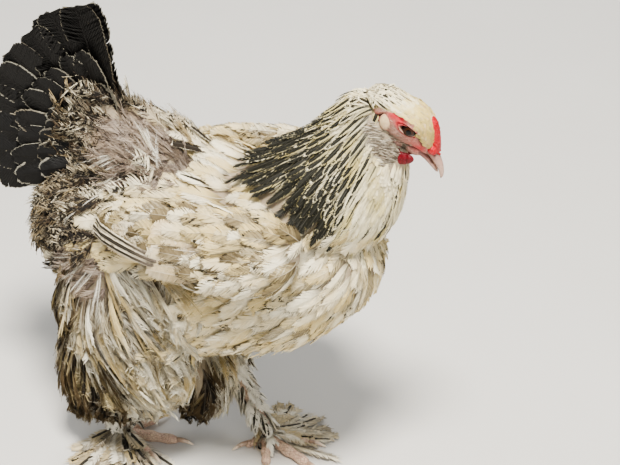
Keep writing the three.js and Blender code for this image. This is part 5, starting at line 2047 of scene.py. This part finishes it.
# The lamps, in metres: name, place, size, power and colour; all of them aim at one spot.
LAMP_AIM = Vector((0, 0, 0.22))
LAMPS = [
    ("key", (0.45, -0.8, 2.6), 0.6, 124, (1.0, 0.97, 0.91)),
    ("fill", (1.6, -1.4, 1.2), 1.6, 13, (0.96, 0.98, 1.0)),
    ("rim", (-0.6, 1.9, 1.6), 1.2, 16, (1.0, 1.0, 1.0)),
]


class HenCoatSettings(bpy.types.PropertyGroup):
    """The sizes of the body feathers"""

    spacing: FloatProperty(name="Spacing", description="Distance between the roots of body feathers, mm",
                           default=8.4)
    length: FloatProperty(name="Length", description="Length of a body feather, mm", default=37.0)
    depth: FloatProperty(name="Depth", description="Height of the feathers' tips over the skin, mm",
                         default=9.0)
    barbs: IntProperty(name="Barbs", description="Ribbons of barbs on each side of a shaft", default=22)


def coat_colours(coat, label, whole, shaft="#efe6cf", **sheets):
    """The colour properties of a coat, one for each part of its feathers."""
    return {
        f"{coat}_{part}": colour(f"{label}, {part}", sheet, f"{COAT_PARTS[part]} of {whole}")
        for part, sheet in {**sheets, "shaft": shaft}.items()
    }


COAT_PARTS = {
    "pale": "Palest part",
    "warm": "Buff tinge",
    "shade": "Shaded, dusty part",
    "ink": "Dark pattern",
    "root": "Downy foot",
    "shaft": "Shaft",
}


class HenColours(bpy.types.PropertyGroup):
    """The colours of coat, bare parts, floor and sky"""

    skin_dull: colour("Skin, dull", "#8f806e", "Duller blotches of the skin under the coat")
    skin_pale: colour("Skin, pale", "#b8a98f", "Paler blotches of the skin under the coat")
    # The deeper wrinkles' colour is partly painted shade.
    face_deep: colour("Face, deep", "#a57f70", "Deeper wrinkles of the bare face")
    face_pale: colour("Face, pale", "#cfab9a", "Raised wrinkles of the bare face")
    face_blood: colour("Face, blood", "#c9303a", "Where the blood shows round eye and bill")
    face_cream: colour("Face, cream", "#f1dfba", "Pale feathered forehead skin and ear lobe")
    face_buff: colour("Face, buff", "#dab680", "Buff clouds on the forehead and the ear lobe")
    # Painted shade in the face's creases, lid edges and mouth corner.
    face_crease: colour("Face, crease", "#4a2a26", "Creases, lid edges and the corner of the mouth")
    face_scurf: colour("Face, scurf", "#f0d3c2", "Pale scurf round the pits of the face")
    toe_pink: colour("Toe, pink", "#e2b3a2", "Pinker scutes of the toes")
    toe_tan: colour("Toe, tan", "#f0d3bd", "Paler scutes of the toes")
    toe_dust: colour("Toe, dust", "#d8c3a2", "Dust on the scutes")
    toe_seam: colour("Toe, seam", "#8a5a4c", "Seams between the scutes")
    comb_deep: colour("Comb, deep", "#980e16", "Hollows of the comb")
    comb_bright: colour("Comb, bright", "#d62630", "Most of the comb")
    comb_grain: colour("Comb, grain", "#f27872", "Tips of the comb's grains")
    # The wattles' reds, darker than the comb's: painted shade.
    wattle_deep: colour("Wattle, deep", "#4c0410", "Hollows of the wattles")
    wattle_bright: colour("Wattle, bright", "#8e0d1e", "Most of the wattles")
    wattle_grain: colour("Wattle, grain", "#a82c38", "Tips of the wattles' grains")
    bill_base: colour("Bill, base", "#8f5f56", "Horn at the base of the bill")
    bill_tip: colour("Bill, tip", "#c9a896", "Horn at the tip of the bill")
    bill_streak: colour("Bill, streak", "#5c433d", "Streaks along the bill")
    claw_base: colour("Claw, base", "#a98d77", "Horn at the base of a claw")
    claw_tip: colour("Claw, tip", "#e3d0b8", "Horn at the tip of a claw")
    claw_streak: colour("Claw, streak", "#7c6553", "Streaks along a claw")
    iris_light: colour("Iris, light", "#4c2812", "Lighter rays of the iris")
    iris_dark: colour("Iris, dark", "#1f0f08", "Darker rays of the iris")
    pupil: colour("Pupil", "#030303", "The pupil")
    iris_ring: colour("Iris, ring", "#140b09", "Dark ring round the iris")
    floor_dark: colour("Floor, dark", "#d8d4cd", "Darker clouds of the paper floor")
    floor_light: colour("Floor, light", "#e2dfd9", "Lighter clouds of the paper floor")
    sky: colour("Sky", "#eef2f6", "Soft light from all sides")


HenColours.__annotations__.update({
    **coat_colours("bristle", "Face bristle", "a face bristle", pale="#d8cdb8", warm="#b79f82",
                   shade="#5a4c40", ink="#1c1a16", root="#7b6655"),
    **coat_colours("crown", "Crown feather", "a crown feather", pale="#fcf2d2", warm="#f0d98c",
                   shade="#a8966a", ink="#1c1a16", root="#e2d09a"),
    **coat_colours("body", "Body feather", "a body feather", pale="#faf1d6", warm="#e3cd96",
                   shade="#7a6b4f", ink="#1d1914", root="#5e523f"),
    **coat_colours("fluff", "Thigh fluff", "the thigh fluff", pale="#f7f1de", warm="#dfcc9c",
                   shade="#54452f", ink="#221c15", root="#786b5d"),
    **coat_colours("hackle", "Hackle feather", "a hackle feather", pale="#f4eac8", warm="#dccb8c",
                   shade="#857c58", ink="#10110e", root="#7d776a"),
    **coat_colours("saddle", "Cushion feather", "a cushion feather", pale="#ece1c6", warm="#a8946f",
                   shade="#4a3c2c", ink="#1a1510", root="#4a3d30"),
    **coat_colours("down", "Rump down", "the rump down", pale="#bdae9f", warm="#a8957f",
                   shade="#62544a", ink="#2e2922", root="#8a7a74", shaft="#cfc2b8"),
    **coat_colours("plume", "Plume", "a plume", pale="#f7f2e6", warm="#e4d6b8",
                   shade="#8f8270", ink="#2a241c", root="#cfc4b0", shaft="#f6f0e2"),
    **coat_colours("tail", "Tail feather", "a tail feather", pale="#aaa697", warm="#8a806c",
                   shade="#3b3430", ink="#100f0e", root="#1c1916", shaft="#3a342f"),
    **coat_colours("quill", "Wing quill", "a wing quill", pale="#f0e5cb", warm="#dcc08a",
                   shade="#94825f", ink="#241e18", root="#8d7f70", shaft="#f6f0e0"),
    **coat_colours("leg", "Leg feather", "a leg feather", pale="#f6f0df", warm="#d8c497",
                   shade="#857a69", ink="#231e17", root="#989080"),
})


class HenStageSettings(bpy.types.PropertyGroup):
    """The sizes of the stage"""

    floor_size: FloatProperty(name="Floor", description="Half width of the floor", default=6.0,
                              unit="LENGTH")
    sky: FloatProperty(name="Sky", description="Strength of the soft light from all sides", default=0.42)
    lens: FloatProperty(name="Lens", description="Focal length on a 36 mm sensor, mm", default=92.32)


class HEN_PT_panel(bpy.types.Panel):
    """Lists what dresses the hen"""

    bl_label = "Brahma hen"
    bl_space_type = "VIEW_3D"
    bl_region_type = "UI"
    bl_category = "Hen"

    def draw(self, context):
        for operator in OPERATORS:
            self.layout.operator(operator.bl_idname)


GROUPS = {"hen_coat": HenCoatSettings, "hen_colours": HenColours, "hen_stage": HenStageSettings}
OPERATORS = (
    HEN_OT_skin,
    HEN_OT_trunk_coat,
    HEN_OT_cushion_coat,
    HEN_OT_down,
    HEN_OT_thigh_coat,
    HEN_OT_neck_coat,
    HEN_OT_wings,
    HEN_OT_tail,
    HEN_OT_leg_feathers,
    HEN_OT_eyes,
    HEN_OT_bill,
    HEN_OT_comb,
    HEN_OT_claws,
    HEN_OT_head_coat,
    HEN_OT_stage,
)


def register():
    for made in (*GROUPS.values(), *OPERATORS, HEN_PT_panel):
        bpy.utils.register_class(made)
    for name, group in GROUPS.items():
        setattr(bpy.types.Scene, name, PointerProperty(type=group))


def unregister():
    for name in GROUPS:
        delattr(bpy.types.Scene, name)
    for made in reversed((*GROUPS.values(), *OPERATORS, HEN_PT_panel)):
        bpy.utils.unregister_class(made)


def main():
    register()
    for operator in OPERATORS:
        group, name = operator.bl_idname.split(".")
        getattr(getattr(bpy.ops, group), name)()


if __name__ == "__main__":
    main()
